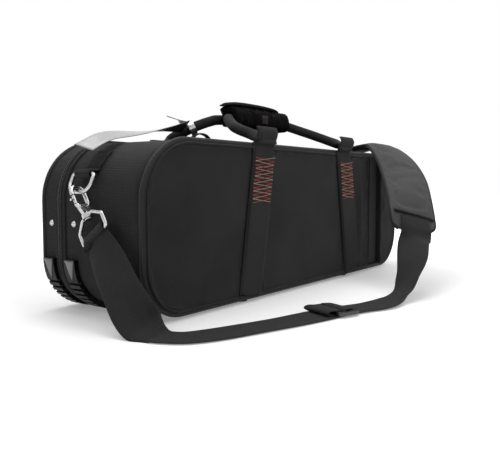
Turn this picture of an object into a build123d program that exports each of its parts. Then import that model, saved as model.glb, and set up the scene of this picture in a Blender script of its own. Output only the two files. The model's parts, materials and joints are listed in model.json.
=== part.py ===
"""Trumpet case: a zipped semi-rigid case that stands on its long narrow side, with two carrying handles, a
padded grip, an outside sheet-music pocket and a clip-on shoulder strap. Millimetres. +X runs along the case away
from its bell end, +Y towards the lid, +Z up. The origin is on the floor under the middle of the case."""

from build123d import *
import os
from math import cos, radians, sin, tan

# Case
case_length = 660.0
case_height = 200.0
top_corner_radius = 72.0
low_corner_radius = 60.0
foot_height = 6.5
wall = 8.0
front_wall_y = -79.0  # outer face of the stiff front wall, behind the pocket
split_y = 52.5  # where base and lid meet
split_gap = 1.0
rear_y = 89.0
fit_gap = 0.3

# Zip band
tape_width = 9.0
tape_rise = 2.8
tape_edge_radius = 1.3
chain_width = 2.4
chain_rise = 1.2

# Front pocket and the panels on it
pocket_depth = 6.0
pocket_sheet = 2.5
pocket_rim = 9.0
pocket_mouth_x = 212.0
end_panel_x = 262.0
panel_thickness = 2.5
panel_margin = 4.5
panel_corner_radius = 14.0
panel_strap_gap = 0.8

# Piping
piping_radius = 3.2
piping_setback = 3.3

# Webbing
webbing_width = 46.0
webbing_thickness = 2.4
handle_webbing_thickness = 3.0
strap_top_x = 112.0
strap_foot_x = 144.0
strap_foot_rise = 4.0
rear_strap_x = 104.0
rear_strap_foot_z = 30.0

# Carrying handles: the bends of a leg from its strap up to the grip, as half width, depth and height above the case
tube_radius = 7.2
handle_pivot_rise = 3.0
front_tube_y = 3.0
rear_tube_y = 21.5
tube_rise = 45.1
rear_sway = -12.0
front_leg = [(116, -83, 11.0), (117, -66, 17.0), (117, -46, 24.2), (108, -31.4, 30.1), (95, -17.3, 36.2),
             (84, -5.5, 41.7), (74, front_tube_y, tube_rise)]
rear_leg = [(105, 82, 13.5), (104.5, 66, 20.3), (97.4, 52, 27.1), (87, 41, 34.1), (74, 31, 40.3),
            (60, rear_tube_y, tube_rise)]

# Grip
grip_left_x = -76.0
grip_right_x = 70.0
grip_front_y = -13.0
grip_rear_y = 22.0
grip_bottom_rise = 32.0
grip_top_rise = 64.0
grip_corner_radius = 12.5
grip_clearance = 0.5
mouth_clearance = 0.9
mouth_angle_up = 58.0
mouth_angle_down = 72.0
flap_length = 134.0
flap_middle_x = -14.0
flap_thickness = 7.0
flap_width = 27.0

# Foam
foam_rim_y = 40.0
bell_depth = 106.0
bay_depth = 84.0
bell_width = 134.0
bell_neck_width = 60.0
bell_left_x = -305.0
bell_neck_x = -150.0
bay_right_x = 188.0
bay_low_z = 27.0
bay_height = 122.0
accessory_left_x = 204.0
accessory_depth = 100.0
foam_wall = 10.0
mouthpiece_radius = 13.5
mouthpiece_depth = 62.0
mouthpiece_places = (96.0, 138.0)
lid_pad = 16.0

# Corner bumpers, feet and rivets
bumper_width = 19.2
bumper_setback = 0.8
bumper_rib_count = 9
bumper_rib_share = 0.58
bumper_rib_depth = 3.0
bumper_rib_start = 24.0
foot_radius = 11.0
foot_x = 141.0
foot_places_y = (-70.0, 24.0)
rivet_radius = 4.2
rivet_height = 2.6
rivet_z = 108.5
base_rivet_y = 30.0
lid_rivet_y = 72.0

# Rings, hooks and frames at the two ends
hardware_y = 5.0
ring_bar_drop = 39.5
ring_bar_standoff = 3.5
ring_wire = 2.3
ring_width = 35.4
ring_drop = 22.7
ring_lean = 24.0
shaft_clearance = 0.05
tab_thickness = 3.0
tab_top_angle = 53.0
tab_low_angle = 23.0
hook_wire = 2.6
hook_width = 16.4
hook_length = 27.0
hook_slack = 1.6
hook_bill = 3.5
gate_wire = 1.8
gate_gap = 0.9
post_radius = 2.6
boss_radius = 6.0
boss_length = 5.0
frame_wire = 2.2
frame_top_width = 24.0
frame_shoulder = 10.0
frame_height = 25.5
left_slant = 31.0
left_twist = -8.0

# Zip sliders
slider_places = (-150.0, -78.0)
slider_length = 17.0
slider_width = 11.0
slider_plate = 2.4
bail_rise = 6.5
bail_wire = 1.5
puller_length = 30.0
puller_width = 9.0
puller_thickness = 2.0
puller_gap = 0.6
loop_length = 40.0
loop_height = 12.0
loop_thickness = 5.0

# Strap adjuster
adjuster_place = (-136.0, -209.5)
adjuster_turn = -20.0
adjuster_length = 32.0
adjuster_bar = 5.0
adjuster_thickness = 4.2

# Tag strap on the rear handle
tag_width = 25.0
tag_thickness = 2.0
tag_ring_width = 9.0
tag_ring_wall = 2.4

# Shoulder pad
pad_width = 72.0
pad_thickness = 9.0


centre_z = foot_height + case_height / 2
half_length = case_length / 2
top_z = foot_height + case_height
handle_pivot_z = round(top_z + handle_pivot_rise, 3)
tube_z = round(top_z + tube_rise, 3)
front_bends = [(x, y, round(top_z + rise, 3)) for x, y, rise in front_leg]
rear_bends = [(x, y, round(top_z + rise, 3)) for x, y, rise in rear_leg]
grip_bottom_z = top_z + grip_bottom_rise
grip_top_z = top_z + grip_top_rise
ring_bar_z = top_z - ring_bar_drop
low_corner_x = half_length - low_corner_radius
low_corner_z = foot_height + low_corner_radius
high_corner_x = half_length - top_corner_radius
high_corner_z = top_z - top_corner_radius
base_rim_y = split_y - split_gap / 2
lid_rim_y = split_y + split_gap / 2
pocket_face_y = front_wall_y - pocket_depth - pocket_sheet

# Shoulder strap: middle of the webbing and the direction across it, from the bell end to the pad. Stations near
# the case keep to its ends and top.
floor_lift = webbing_thickness / 2
front_route = [
    ((-half_length - 21, -56, ring_bar_z - 97.5), (0.24, -0.82, 0.52)),
    ((-half_length - 27, -80, 46), (0.34, -0.77, 0.53)),
    ((-half_length - 28, -98, 26.5), (0.58, -0.68, 0.42)),
    ((-half_length - 23, -111, 11), (0.92, -0.28, 0.25)),
    ((-half_length - 16, -120, 2.2), (0.99, 0.08, 0.03)),
    ((-half_length - 12, -132, floor_lift), (0.86, 0.51, 0)),
    ((-half_length - 1, -149, floor_lift), (0.78, 0.62, 0)),
    ((-half_length + 24, -162, floor_lift), (0.45, 0.89, 0)),
    ((-half_length + 58, -173, floor_lift), (0.34, 0.94, 0)),
    ((-half_length + 102, -187, floor_lift), (0.32, 0.95, 0)),
    ((-180, -200, floor_lift), (0.32, 0.95, 0)),
    ((*adjuster_place, floor_lift), (0.34, 0.94, 0)),
    ((-100, -222, floor_lift), (0.38, 0.92, 0)),
    ((-66, -236, 2.6), (0.60, 0.80, 0)),
    ((-30, -236, 4.6), (0.76, 0.64, -0.06)),
    ((-10, -239, 9.5), (0.75, 0.66, -0.07)),
    ((5, -240.5, 17), (0.68, 0.73, -0.09)),
    ((21, -239, 29), (0.54, 0.84, -0.06)),
    ((42, -236, 45), (0.33, 0.94, -0.04)),
    ((78, -223, 66), (0.05, 0.99, 0.06)),
    ((98.3, -216.8, 78.4), (-0.47, 0.83, 0.28)),
    ((102.75, -214.15, 84.65), (-0.51, 0.81, 0.30)),
]
pad_route = [
    ((103, -214, 85), (-0.51, 0.81, 0.30), 48.0),
    ((108, -211, 92), (-0.55, 0.79, 0.29), 66.0),
    ((119.5, -204, 107), (-0.62, 0.74, 0.26)),
    ((half_length - 180.5, -185.5, top_z - 67.5), (-0.69, 0.71, 0.14)),
    ((half_length - 142, -160, top_z - 36.5), (-0.71, 0.70, 0.08)),
    ((half_length - 104, -126, top_z - 5.5), (-0.86, 0.51, 0.05)),
    ((half_length - 76.5, -90.5, top_z + 14.5), (-0.97, 0.20, 0.02)),
    ((half_length - 66, -51, top_z + 14.5), (-1, 0, 0)),
    ((half_length - 66, -14, top_z + 6), (-1, 0, 0)),
]
back_route = [
    ((half_length - 65.9, -13.2, top_z + 5.9), (-1, 0, 0)),
    ((half_length - 63.5, 8, top_z + 3), (-0.98, 0.20, 0)),
    ((half_length - 53, 27, top_z + 6.3), (-0.81, 0.59, 0)),
    ((half_length - 32, 36, top_z + 3.3), (-0.40, 0.92, 0)),
    ((half_length - 8, 30, top_z - 13), (-0.09, 0.99, 0)),
    ((half_length + 18, 18.5, top_z - 39.5), (0, 1, 0)),
    ((half_length + 33.5, 10, ring_bar_z - 36.5), (0, 1, 0)),
    ((half_length + 38.5, 6, ring_bar_z - 72), (0, 1, 0)),
    ((half_length + 35.5, 5, ring_bar_z - 100), (0, 1, 0)),
    ((half_length + 26, 5, ring_bar_z - 113), (0, 1, 0)),
    ((half_length + 16, 5, ring_bar_z - 107), (0, 1, 0)),
]
tag_route = [
    ((-119.7, 46, top_z + 31.8), (0, -0.75, 0.66)),
    ((-half_length + 170, 42, top_z + 25.8), (0, -0.97, 0.24)),
    ((-half_length + 117.5, 29.5, top_z + 17.5), (0, -0.998, -0.07)),
    ((-half_length + 68.5, 17.3, top_z + 11.3), (0, -0.95, -0.31)),
    ((-half_length + 28, 8, top_z + 3.9), (0, -0.92, -0.39)),
    ((-half_length - 7, 1.7, top_z - 10.2), (0, -0.90, -0.44)),
]
panel_face_y = pocket_face_y - panel_thickness
tape_top_z = top_z + tape_rise
chain_top_z = tape_top_z + chain_rise
front_pivot_y = pocket_face_y - handle_webbing_thickness
rear_pivot_y = rear_y + handle_webbing_thickness
strap_end_z = handle_pivot_z - handle_webbing_thickness / 2 - fit_gap
bay_middle_z = bay_low_z + bay_height / 2


def outline(grow=0.0):
    """The case's side outline, grown by an even margin."""
    shape = Rectangle(case_length + 2 * grow, case_height + 2 * grow)
    low, high = shape.vertices().group_by(Axis.Y)
    shape = fillet(fillet(low, low_corner_radius + grow).vertices().group_by(Axis.Y)[-1], top_corner_radius + grow)
    return Pos(0, centre_z) * shape


def across(sketch, y_from, y_to):
    """Extrudes a sketch drawn in X and Z from one depth to another."""
    return extrude(Plane.XZ.offset(-y_to) * sketch, y_to - y_from)


def band(inner, outer, y_from, y_to):
    """A hoop round the case between two margins of its outline."""
    return across(outline(outer) - outline(inner), y_from, y_to)


def both_ends(shape):
    return Compound(children=[*shape.solids(), *mirror(shape, about=Plane.YZ).solids()])


def save(shape, name):
    solids = shape.solids()
    export_step(solids[0] if len(solids) == 1 else Compound(children=list(solids)), f"parts/{name}.step")


# Shells and lining

def base_shell():
    return across(outline(), front_wall_y, base_rim_y) - across(outline(-wall), front_wall_y + wall, base_rim_y)


def lid_shell():
    shell = across(outline(), lid_rim_y, rear_y) - across(outline(-wall), lid_rim_y, rear_y - wall)
    return shell - piping(rear_y - piping_setback)


def base_liner():
    """Foam block with the bell and tubing bays, the accessory bay and two mouthpiece holes."""
    low_y = front_wall_y + wall + fit_gap
    foam = across(outline(-wall - fit_gap), low_y, foam_rim_y)
    bell = Polyline((bell_left_x, bay_middle_z - bell_width / 2), (bell_left_x, bay_middle_z + bell_width / 2),
                    (bell_neck_x, bay_middle_z + bell_neck_width / 2),
                    (bell_neck_x, bay_middle_z - bell_neck_width / 2), close=True)
    bell_cut = across(fillet(make_face(bell).vertices(), foam_wall), foam_rim_y - bell_depth, foam_rim_y)
    bay_length = bay_right_x - bell_neck_x + foam_wall
    bay = Pos(bay_right_x - bay_length / 2, bay_middle_z) * RectangleRounded(bay_length, bay_height, 2 * foam_wall)
    bay_cut = across(bay, foam_rim_y - bay_depth, foam_rim_y)
    store = outline(-wall - foam_wall) & Pos(accessory_left_x + half_length / 2, centre_z) * Rectangle(
        half_length, case_height)
    store_cut = across(store, foam_rim_y - accessory_depth, foam_rim_y)
    hole_z = (bay_low_z + bay_height + top_z - wall) / 2
    holes = [across(Pos(x, hole_z) * Circle(mouthpiece_radius), foam_rim_y - mouthpiece_depth, foam_rim_y)
             for x in mouthpiece_places]
    return foam - bell_cut - bay_cut - store_cut - holes[0] - holes[1]


def lid_liner():
    rear = rear_y - wall - fit_gap
    pad = across(outline(-wall - fit_gap), rear - lid_pad, rear)
    return fillet(pad.faces().sort_by(Axis.Y)[0].outer_wire().edges(), foam_wall / 2)


# Outside trim

def piping(y):
    """A corded seam that follows the case's outline."""
    path = (Plane.XZ.offset(-y) * outline()).face().outer_wire()
    start = Plane(origin=path @ 0, z_dir=path % 0)
    return sweep(start * Circle(piping_radius), path=path)


def zip_tape(rim_y, inward):
    """Half of the zip band: a rounded tape and its half of the chain at the rim."""
    edge_y = rim_y + inward * tape_width
    tape = band(0, tape_rise, min(rim_y, edge_y), max(rim_y, edge_y))
    outer = tape.faces().sort_by(Axis.Y)[0 if inward < 0 else -1].outer_wire().edges()
    tape = fillet(outer, tape_edge_radius)
    chain_y = rim_y + inward * chain_width
    return tape + band(tape_rise, tape_rise + chain_rise, min(rim_y, chain_y), max(rim_y, chain_y))


def sheet_pocket():
    """The outside pocket: a sheet sewn to the front wall round three sides and open towards the right end."""
    keep = Pos((pocket_mouth_x - half_length) / 2, centre_z) * Rectangle(
        pocket_mouth_x + half_length, 2 * case_height)
    outer = outline() & keep
    inner = outline(-pocket_rim) & Pos(pocket_rim, 0) * keep
    pocket = across(outer, pocket_face_y, front_wall_y) - across(inner, front_wall_y - pocket_depth, front_wall_y)
    return pocket - piping(pocket_face_y + piping_setback)


def end_panel():
    """The fixed panel beside the pocket's mouth."""
    width = half_length - end_panel_x
    area = outline() & Pos(end_panel_x + width / 2, centre_z) * Rectangle(width, 2 * case_height)
    panel = across(area, pocket_face_y, front_wall_y) - piping(pocket_face_y + piping_setback)
    face = outline(-panel_margin) & Pos(end_panel_x + width / 2, centre_z) * Rectangle(width, 2 * case_height)
    return panel + across(face, panel_face_y, pocket_face_y)


def strap_area(grow):
    """The two splayed handle straps seen from the front, grown sideways by a margin."""
    reach = webbing_width / 2 + grow
    low_z = foot_height + strap_foot_rise
    side = make_face(Polyline((strap_top_x - reach, strap_end_z), (strap_top_x + reach, strap_end_z),
                              (strap_foot_x + reach, low_z), (strap_foot_x - reach, low_z), close=True))
    return side, mirror(side, about=Plane.YZ)


def front_panels():
    """Padded panels between the handle straps, over the pocket's sheet."""
    left, right = strap_area(panel_strap_gap)
    keep = Pos((pocket_mouth_x - half_length) / 2, centre_z) * Rectangle(
        pocket_mouth_x + half_length, 2 * case_height)
    area = (outline(-panel_margin) & keep) - left - right
    panels = []
    for face in area.faces():
        if face.area > webbing_width * webbing_width:
            corners = [v for v in face.vertices() if v.Z > centre_z and abs(abs(v.X) - strap_top_x) < webbing_width]
            rounded = fillet(corners, panel_corner_radius) if corners else face
            panels += across(rounded, panel_face_y, pocket_face_y).solids()
    return Compound(children=panels)


def front_straps():
    left, right = strap_area(0)
    low_y = pocket_face_y - handle_webbing_thickness
    return Compound(children=[*across(left, low_y, pocket_face_y).solids(), *across(right, low_y, pocket_face_y).solids()])


def rear_straps():
    strap = Pos(rear_strap_x, (strap_end_z + rear_strap_foot_z) / 2) * Rectangle(
        webbing_width, strap_end_z - rear_strap_foot_z)
    return both_ends(across(strap, rear_y, rear_y + handle_webbing_thickness))


# Feet, bumpers and rivets

def corner_bumper(y_from):
    """A ribbed guard round the low corner at the bell end, from the end face to the underside."""
    outer = low_corner_radius + foot_height
    centre = Pos(-low_corner_x, low_corner_z)
    quarter = Pos(-low_corner_x - outer / 2, low_corner_z - outer / 2) * Rectangle(outer, outer)
    guard = (centre * Circle(outer) - centre * Circle(low_corner_radius)) & quarter
    pitch = (90 - bumper_rib_start) / bumper_rib_count
    for i in range(bumper_rib_count):
        angle = 180 + bumper_rib_start + (i + bumper_rib_share / 2) * pitch
        guard -= centre * Rot(0, 0, angle) * Pos(outer, 0) * Rectangle(
            2 * bumper_rib_depth, (1 - bumper_rib_share) * radians(pitch) * outer)
    leaf = Pos(-low_corner_x - outer, y_from + bumper_width / 2, low_corner_z - outer * sin(radians(12)))
    return across(guard, y_from, y_from + bumper_width) - leaf * Box(
        bumper_rib_depth, bumper_width * 0.45, bumper_width * 0.55)


def bumpers(y_from):
    return both_ends(corner_bumper(y_from))


def base_feet():
    feet = []
    for x in (-foot_x, foot_x):
        for y in foot_places_y:
            feet.append(Pos(x, y, foot_height / 2) * Cone(foot_radius * 0.85, foot_radius, foot_height))
    return Compound(children=feet)


def rivets(y):
    ball = (rivet_radius ** 2 + rivet_height ** 2) / (2 * rivet_height)
    dome = Pos(-half_length - rivet_height + ball, y, rivet_z) * Sphere(ball)
    space = Pos(-half_length - rivet_height / 2, y, rivet_z) * Box(rivet_height, 3 * rivet_radius, 3 * rivet_radius)
    return both_ends(dome & space)


# Carrying handles and grip

def smooth_path(points):
    """Straight runs joined by tangent arcs as large as the runs allow."""
    points = [Vector(*p) for p in points]
    radii = []
    for a, b, c in zip(points, points[1:], points[2:]):
        half_turn = radians((b - a).get_angle(c - b)) / 2
        radii.append(0.45 * min((b - a).length, (c - b).length) / tan(half_turn))
    return FilletPolyline(*points, radius=radii)


def handle_ways(bends, sway):
    """The bends of both legs, each from its strap upwards."""
    return [[Vector(side * x + sway, y, z) for x, y, z in bends] for side in (-1, 1)]


def tube_path(bends, sway):
    left, right = handle_ways(bends[1:], sway)
    return smooth_path(left + right[::-1])


def tube(bends, sway, radius):
    path = tube_path(bends, sway)
    return sweep(Plane(origin=path @ 0, z_dir=path % 0) * Circle(radius), path=path)


def carry_handle(strap_x, pivot_y, bends, sway):
    """A webbing tube between two flat roots, each with a rounded end that turns on its strap's top edge."""
    path = tube_path(bends, sway)
    shape = tube(bends, sway, tube_radius)
    for side, leg, end, way in zip((-1, 1), handle_ways(bends, sway), (0, 1), (path % 0, -(path % 1))):
        foot = Vector(side * strap_x, pivot_y, handle_pivot_z)
        sections = []
        for place, up, flat in ((foot, Vector(0, 0, 1), Ellipse(webbing_width / 2, handle_webbing_thickness / 2)),
                                (leg[0], leg[1] - foot, Ellipse(webbing_width * 0.34, tube_radius * 0.62)),
                                (path @ end, way, Circle(tube_radius))):
            sections.append(Plane(origin=place, x_dir=(1, 0, 0), z_dir=(0, up.Y, up.Z)) * flat)
        barrel = Plane(origin=foot, z_dir=(1, 0, 0)) * Cylinder(handle_webbing_thickness / 2, webbing_width * 0.96)
        shape += loft(sections) + barrel
    return shape


def grip_section():
    """The padded wrap's section in Y and Z, open to the rear round the second tube."""
    middle = ((grip_front_y + grip_rear_y) / 2, (grip_bottom_z + grip_top_z) / 2)
    body = Pos(*middle) * RectangleRounded(grip_rear_y - grip_front_y, grip_top_z - grip_bottom_z, grip_corner_radius)
    reach = tube_radius + mouth_clearance
    up, down = radians(mouth_angle_up), radians(-mouth_angle_down)
    far = 4 * reach
    seat = Vector(rear_tube_y, tube_z)
    corners = [seat + Vector(-sin(up), cos(up)) * reach,
               seat + Vector(-sin(up), cos(up)) * reach + Vector(cos(up), sin(up)) * far,
               seat + Vector(sin(down), -cos(down)) * reach + Vector(cos(down), sin(down)) * far,
               seat + Vector(sin(down), -cos(down)) * reach]
    mouth = make_face(Polyline(*corners, close=True)) + Pos(rear_tube_y, tube_z) * Circle(reach)
    return body - Pos(front_tube_y, tube_z) * Circle(tube_radius + grip_clearance) - mouth


def along(sketch, x_from, x_to):
    """Extrudes a sketch drawn in Y and Z from one end to the other."""
    return extrude(Plane.YZ.offset(x_from) * sketch, x_to - x_from)


def grip_wrap():
    wrap = along(grip_section(), grip_left_x, grip_right_x)
    return wrap - tube(front_bends, 0, tube_radius + grip_clearance)


def grip_flap():
    """The closing lobe on top of the grip."""
    middle_y = grip_front_y + grip_corner_radius / 2 + flap_width / 2
    layers = []
    for rise, inset in ((0, 0), (0.4, 0.3), (0.75, 2.2), (1, 6.5)):
        layers.append(Pos(flap_middle_x, middle_y, grip_top_z + fit_gap + rise * flap_thickness) * SlotOverall(
            flap_length - 2 * inset, flap_width - 2 * inset))
    return loft(layers, ruled=True)


# Rings, hooks and frames

def ring_path_face():
    """The ring's centre line: a straight bar at the top and a round bottom, in Y and Z below the bar."""
    shape = Pos(0, -ring_drop / 2) * Rectangle(ring_width, ring_drop)
    low = [v for v in shape.vertices() if v.Y < -ring_drop / 2]
    shape = fillet(low, ring_drop * 0.52)
    high = [v for v in shape.vertices() if v.Y > -ring_wire]
    return fillet(high, ring_wire * 1.5)


ring_bar_x = -half_length - ring_bar_standoff
ring_low_x = ring_bar_x - ring_drop * sin(radians(ring_lean))
ring_low_z = ring_bar_z - ring_drop * cos(radians(ring_lean))


def closed_wire(face, plane, radius):
    path = (plane * face).face().outer_wire()
    return sweep(Plane(origin=path @ 0, z_dir=path % 0) * Circle(radius), path=path)


def d_ring():
    lean = radians(ring_lean)
    plane = Plane(origin=(ring_bar_x, hardware_y, ring_bar_z), x_dir=(0, 1, 0), z_dir=(cos(lean), 0, -sin(lean)))
    return closed_wire(ring_path_face(), plane, ring_wire)


def ring_tab():
    """The sewn loop that carries the ring: a strip on the case's top corner and a barrel round the ring's bar."""
    corner = Pos(-high_corner_x, high_corner_z)
    far = 2 * top_corner_radius
    wedge = make_face(Polyline((0, 0), (-far * cos(radians(tab_low_angle)), far * sin(radians(tab_low_angle))),
                               (-far * cos(radians(tab_top_angle)), far * sin(radians(tab_top_angle))), close=True))
    outer = top_corner_radius + tab_thickness
    strip = (corner * Circle(outer) - corner * Circle(top_corner_radius)) & corner * wedge
    barrel = Pos(ring_bar_x, ring_bar_z) * Circle(ring_wire + shaft_clearance + tab_thickness)
    low = radians(tab_low_angle + 6)
    neck = make_face(Polyline(
        (ring_bar_x, ring_bar_z + ring_wire + tab_thickness),
        (-high_corner_x - outer * cos(low), high_corner_z + outer * sin(low)),
        (-high_corner_x - top_corner_radius * cos(low), high_corner_z + top_corner_radius * sin(low)),
        (ring_bar_x + ring_wire + tab_thickness, ring_bar_z + ring_wire), (ring_bar_x, ring_bar_z), close=True))
    section = strip + barrel + neck - Pos(ring_bar_x, ring_bar_z) * Circle(ring_wire + shaft_clearance)
    section -= corner * Circle(top_corner_radius)
    half = ring_width / 2 - 2 * ring_wire
    return across(section, hardware_y - half, hardware_y + half)


def hook_plane(slant, twist=0.0):
    """A plane at the ring's low bar whose Y runs down the hook and whose X runs across it."""
    down = Vector(0, -sin(radians(slant)), -cos(radians(slant)))
    side = Vector(0, -cos(radians(slant)), sin(radians(slant)))
    turn = radians(twist)
    cross = side * cos(turn) + Vector(1, 0, 0) * sin(turn)
    return Plane(origin=(ring_low_x, hardware_y, ring_low_z), x_dir=cross, z_dir=cross.cross(down))


hook_top = -(ring_wire + hook_wire + hook_slack)
hook_foot = hook_top + hook_length
collar_foot = hook_foot + 3 * hook_wire
frame_top = collar_foot + fit_gap
frame_bar = frame_top + boss_length / 2 + frame_height


def hook_side_plane(slant):
    """The hook's own plane: X along the case, Y down the hook."""
    down = Vector(0, -sin(radians(slant)), -cos(radians(slant)))
    return Plane(origin=(ring_low_x, hardware_y, ring_low_z), x_dir=(1, 0, 0), z_dir=Vector(1, 0, 0).cross(down))


def snap_hook(slant):
    """The hook, its foot and the swivel post with its head, open on the side that the gate closes."""
    plane = hook_side_plane(slant)
    loop = Pos(0, hook_top + hook_length / 2) * RectangleRounded(hook_width, hook_length, hook_width * 0.48)
    wire = closed_wire(loop, plane, hook_wire)
    opening = Pos(-hook_width / 2, (hook_bill + hook_foot - 2 * hook_wire) / 2)
    gap = hook_foot - 2 * hook_wire - hook_bill
    wire -= plane * extrude(opening * Rectangle(3 * hook_wire, gap), 2 * hook_wire, both=True)
    foot = make_face(Polyline((-hook_width / 2, hook_foot - 1.5 * hook_wire), (hook_width / 2, hook_foot - 1.5 * hook_wire),
                              (boss_radius * 0.7, collar_foot), (-boss_radius * 0.7, collar_foot), close=True))
    foot = plane * extrude(foot, hook_wire * 0.9, both=True)
    axis = Plane(origin=plane.from_local_coords(Vector(0, collar_foot, 0)), z_dir=plane.y_dir)
    post = axis * Pos(0, 0, -hook_wire) * Cylinder(post_radius, boss_length + 2 * fit_gap + hook_wire, align=(
        Align.CENTER, Align.CENTER, Align.MIN))
    head = axis * Pos(0, 0, boss_length + 2 * fit_gap) * Cylinder(boss_radius * 0.72, 1.6, align=(
        Align.CENTER, Align.CENTER, Align.MIN))
    return wire + foot + post + head


def hook_gate(slant):
    """The sprung bar that closes the hook, with its thumb stud."""
    plane = hook_side_plane(slant)
    top = hook_bill + gate_gap
    foot = hook_foot - 2 * hook_wire - gate_gap
    axis = Plane(origin=plane.from_local_coords(Vector(-hook_width / 2, top, 0)), z_dir=plane.y_dir)
    bar = axis * Cylinder(gate_wire, foot - top, align=(Align.CENTER, Align.CENTER, Align.MIN))
    stud = Plane(origin=plane.from_local_coords(Vector(-hook_width / 2, (top + foot) / 2, 0)), z_dir=-plane.x_dir)
    return bar + stud * Cylinder(gate_wire * 0.8, 3 * gate_wire, align=(Align.CENTER, Align.CENTER, Align.MIN))


def strap_frame(slant, twist):
    """The wide loop that holds the webbing, with the boss that the hook's post turns in."""
    plane = hook_plane(slant, twist)
    half = webbing_width / 2 + 2 * frame_wire
    high = frame_top + boss_length / 2
    shoulder = high + frame_shoulder
    shape = make_face(Polyline((-frame_top_width / 2, high), (frame_top_width / 2, high), (half, shoulder),
                               (half, frame_bar), (-half, frame_bar), (-half, shoulder), close=True))
    shape = fillet(shape.vertices(), 1.6 * frame_wire)
    wire = closed_wire(shape, plane, frame_wire)
    axis = Plane(origin=plane.from_local_coords(Vector(0, frame_top, 0)), z_dir=plane.y_dir)
    boss = axis * Cylinder(boss_radius, boss_length, align=(Align.CENTER, Align.CENTER, Align.MIN))
    bore = axis * Cylinder(post_radius + shaft_clearance, 3 * boss_length)
    return wire + boss - bore


# Webbing and pad

def ribbon(route, width, thickness):
    """A flat band through stations that each give its middle, the direction across it and, where it differs, a width."""
    places = [Vector(*station[0]) for station in route]
    sections = []
    for i, (place, (_, side, *own)) in enumerate(zip(places, route)):
        way = places[min(i + 1, len(places) - 1)] - places[max(i - 1, 0)]
        side = Vector(*side).normalized()
        way = way - side * way.dot(side)
        sections.append(Plane(origin=place, x_dir=side, z_dir=way) * Rectangle(own[0] if own else width, thickness))
    return loft(sections, ruled=True)


def webbing_loop(plane):
    """The folded end of the webbing round a frame's bar, and the station where the flat webbing starts."""
    outer = frame_wire + shaft_clearance + webbing_thickness
    at_bar = Plane(origin=plane.from_local_coords(Vector(0, frame_bar, 0)), x_dir=plane.y_dir, z_dir=plane.x_dir)
    barrel = extrude(at_bar * (Circle(outer) - Circle(frame_wire + shaft_clearance)), webbing_width / 2, both=True)
    start = plane.from_local_coords(Vector(0, frame_bar + outer - webbing_thickness / 2, 0))
    return barrel, (tuple(start), tuple(plane.x_dir))


def strap_front():
    barrel, start = webbing_loop(hook_plane(left_slant, left_twist))
    return barrel + ribbon([start] + front_route, webbing_width, webbing_thickness)


def strap_back():
    plane = Plane(origin=(-ring_low_x, hardware_y, ring_low_z), x_dir=(0, 1, 0), z_dir=Vector(0, 1, 0).cross(Vector(0, 0, -1)))
    barrel, end = webbing_loop(plane)
    return barrel + ribbon(back_route + [end], webbing_width, webbing_thickness)


def shoulder_pad():
    return ribbon(pad_route, pad_width, pad_thickness)


def strap_adjuster():
    """A flat three-bar slide on the webbing."""
    width = webbing_width + 2 * adjuster_bar
    shape = RectangleRounded(adjuster_length, width, adjuster_bar)
    window = (adjuster_length - 3 * adjuster_bar) / 2
    for side in (-1, 1):
        shape -= Pos(side * (adjuster_bar + window) / 2, 0) * Rectangle(window, webbing_width + 1)
    low_z = webbing_thickness + fit_gap
    place = Pos(*adjuster_place, low_z) * Rot(0, 0, adjuster_turn)
    return place * extrude(shape, adjuster_thickness)


def strap_fold():
    """The webbing that rises through the slide and over its middle bar."""
    inner = adjuster_bar / 2 + fit_gap
    low_z = webbing_thickness + fit_gap
    high = adjuster_thickness + fit_gap
    hump = Pos(0, (high + webbing_thickness) / 2) * Rectangle(2 * (inner + webbing_thickness), high + webbing_thickness)
    hump = fillet(hump.vertices().group_by(Axis.Y)[-1], webbing_thickness)
    hump -= Pos(0, high / 2) * Rectangle(2 * inner, high)
    place = Pos(*adjuster_place, low_z) * Rot(0, 0, adjuster_turn)
    return place * extrude(Plane.XZ * hump, webbing_width / 2, both=True)


# Zip sliders and pullers

slider_low_z = chain_top_z + fit_gap
bail_base_z = slider_low_z + slider_plate
bail_half = slider_length * 0.3


def zip_slider(x):
    """A slider on the chain with its bail; it grips the base's tape and rides over the lid's."""
    plate = Pos(x, split_y, slider_low_z) * extrude(
        RectangleRounded(slider_length, slider_width, slider_width * 0.3), slider_plate)
    flank_low = tape_top_z + fit_gap
    flank = Pos(x, split_y - slider_width / 2 + 0.8, (bail_base_z + flank_low) / 2) * Box(
        slider_length * 0.8, 1.6, bail_base_z - flank_low)
    loop = RectangleRounded(2 * bail_half, 2 * (bail_rise - bail_wire), bail_rise * 0.6)
    arch = closed_wire(loop, Plane(origin=(x, split_y, bail_base_z), x_dir=(1, 0, 0), z_dir=(0, -1, 0)), bail_wire)
    arch = arch & Pos(x, split_y, bail_base_z + bail_rise / 2 - 0.2) * Box(slider_length, slider_width, bail_rise + 0.4)
    return plate + flank + arch


def flat_puller(x):
    """A pull tab that lies along the zip from its slider's bail."""
    eye_x = x - bail_half
    reach = Pos(eye_x + 3.2 - puller_length / 2, split_y) * RectangleRounded(
        puller_length, puller_width, puller_width * 0.35)
    eye = Pos(eye_x, split_y) * Circle(bail_wire + 0.5)
    return Pos(0, 0, bail_base_z + puller_gap) * extrude(reach - eye, puller_thickness)


def loop_puller(x):
    """A stiff folded webbing tab that stands over its slider's bail."""
    lobe = Ellipse(loop_length / 2, loop_height) & Pos(0, loop_height / 2) * Rectangle(loop_length, loop_height)
    return Pos(x, split_y, bail_base_z + bail_rise + fit_gap) * extrude(Plane.XZ * lobe, loop_thickness / 2, both=True)


# Tag

def tag_ring():
    """The buckle band round the rear handle's leg at the bell end."""
    low, high = handle_ways(rear_bends, rear_sway)[0][2:4]
    axis = Plane(origin=(low + high) * 0.5, z_dir=high - low)
    inner = tube_radius + 2 * fit_gap
    return axis * (Cylinder(inner + tag_ring_wall, tag_ring_width) - Cylinder(inner, tag_ring_width))


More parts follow.
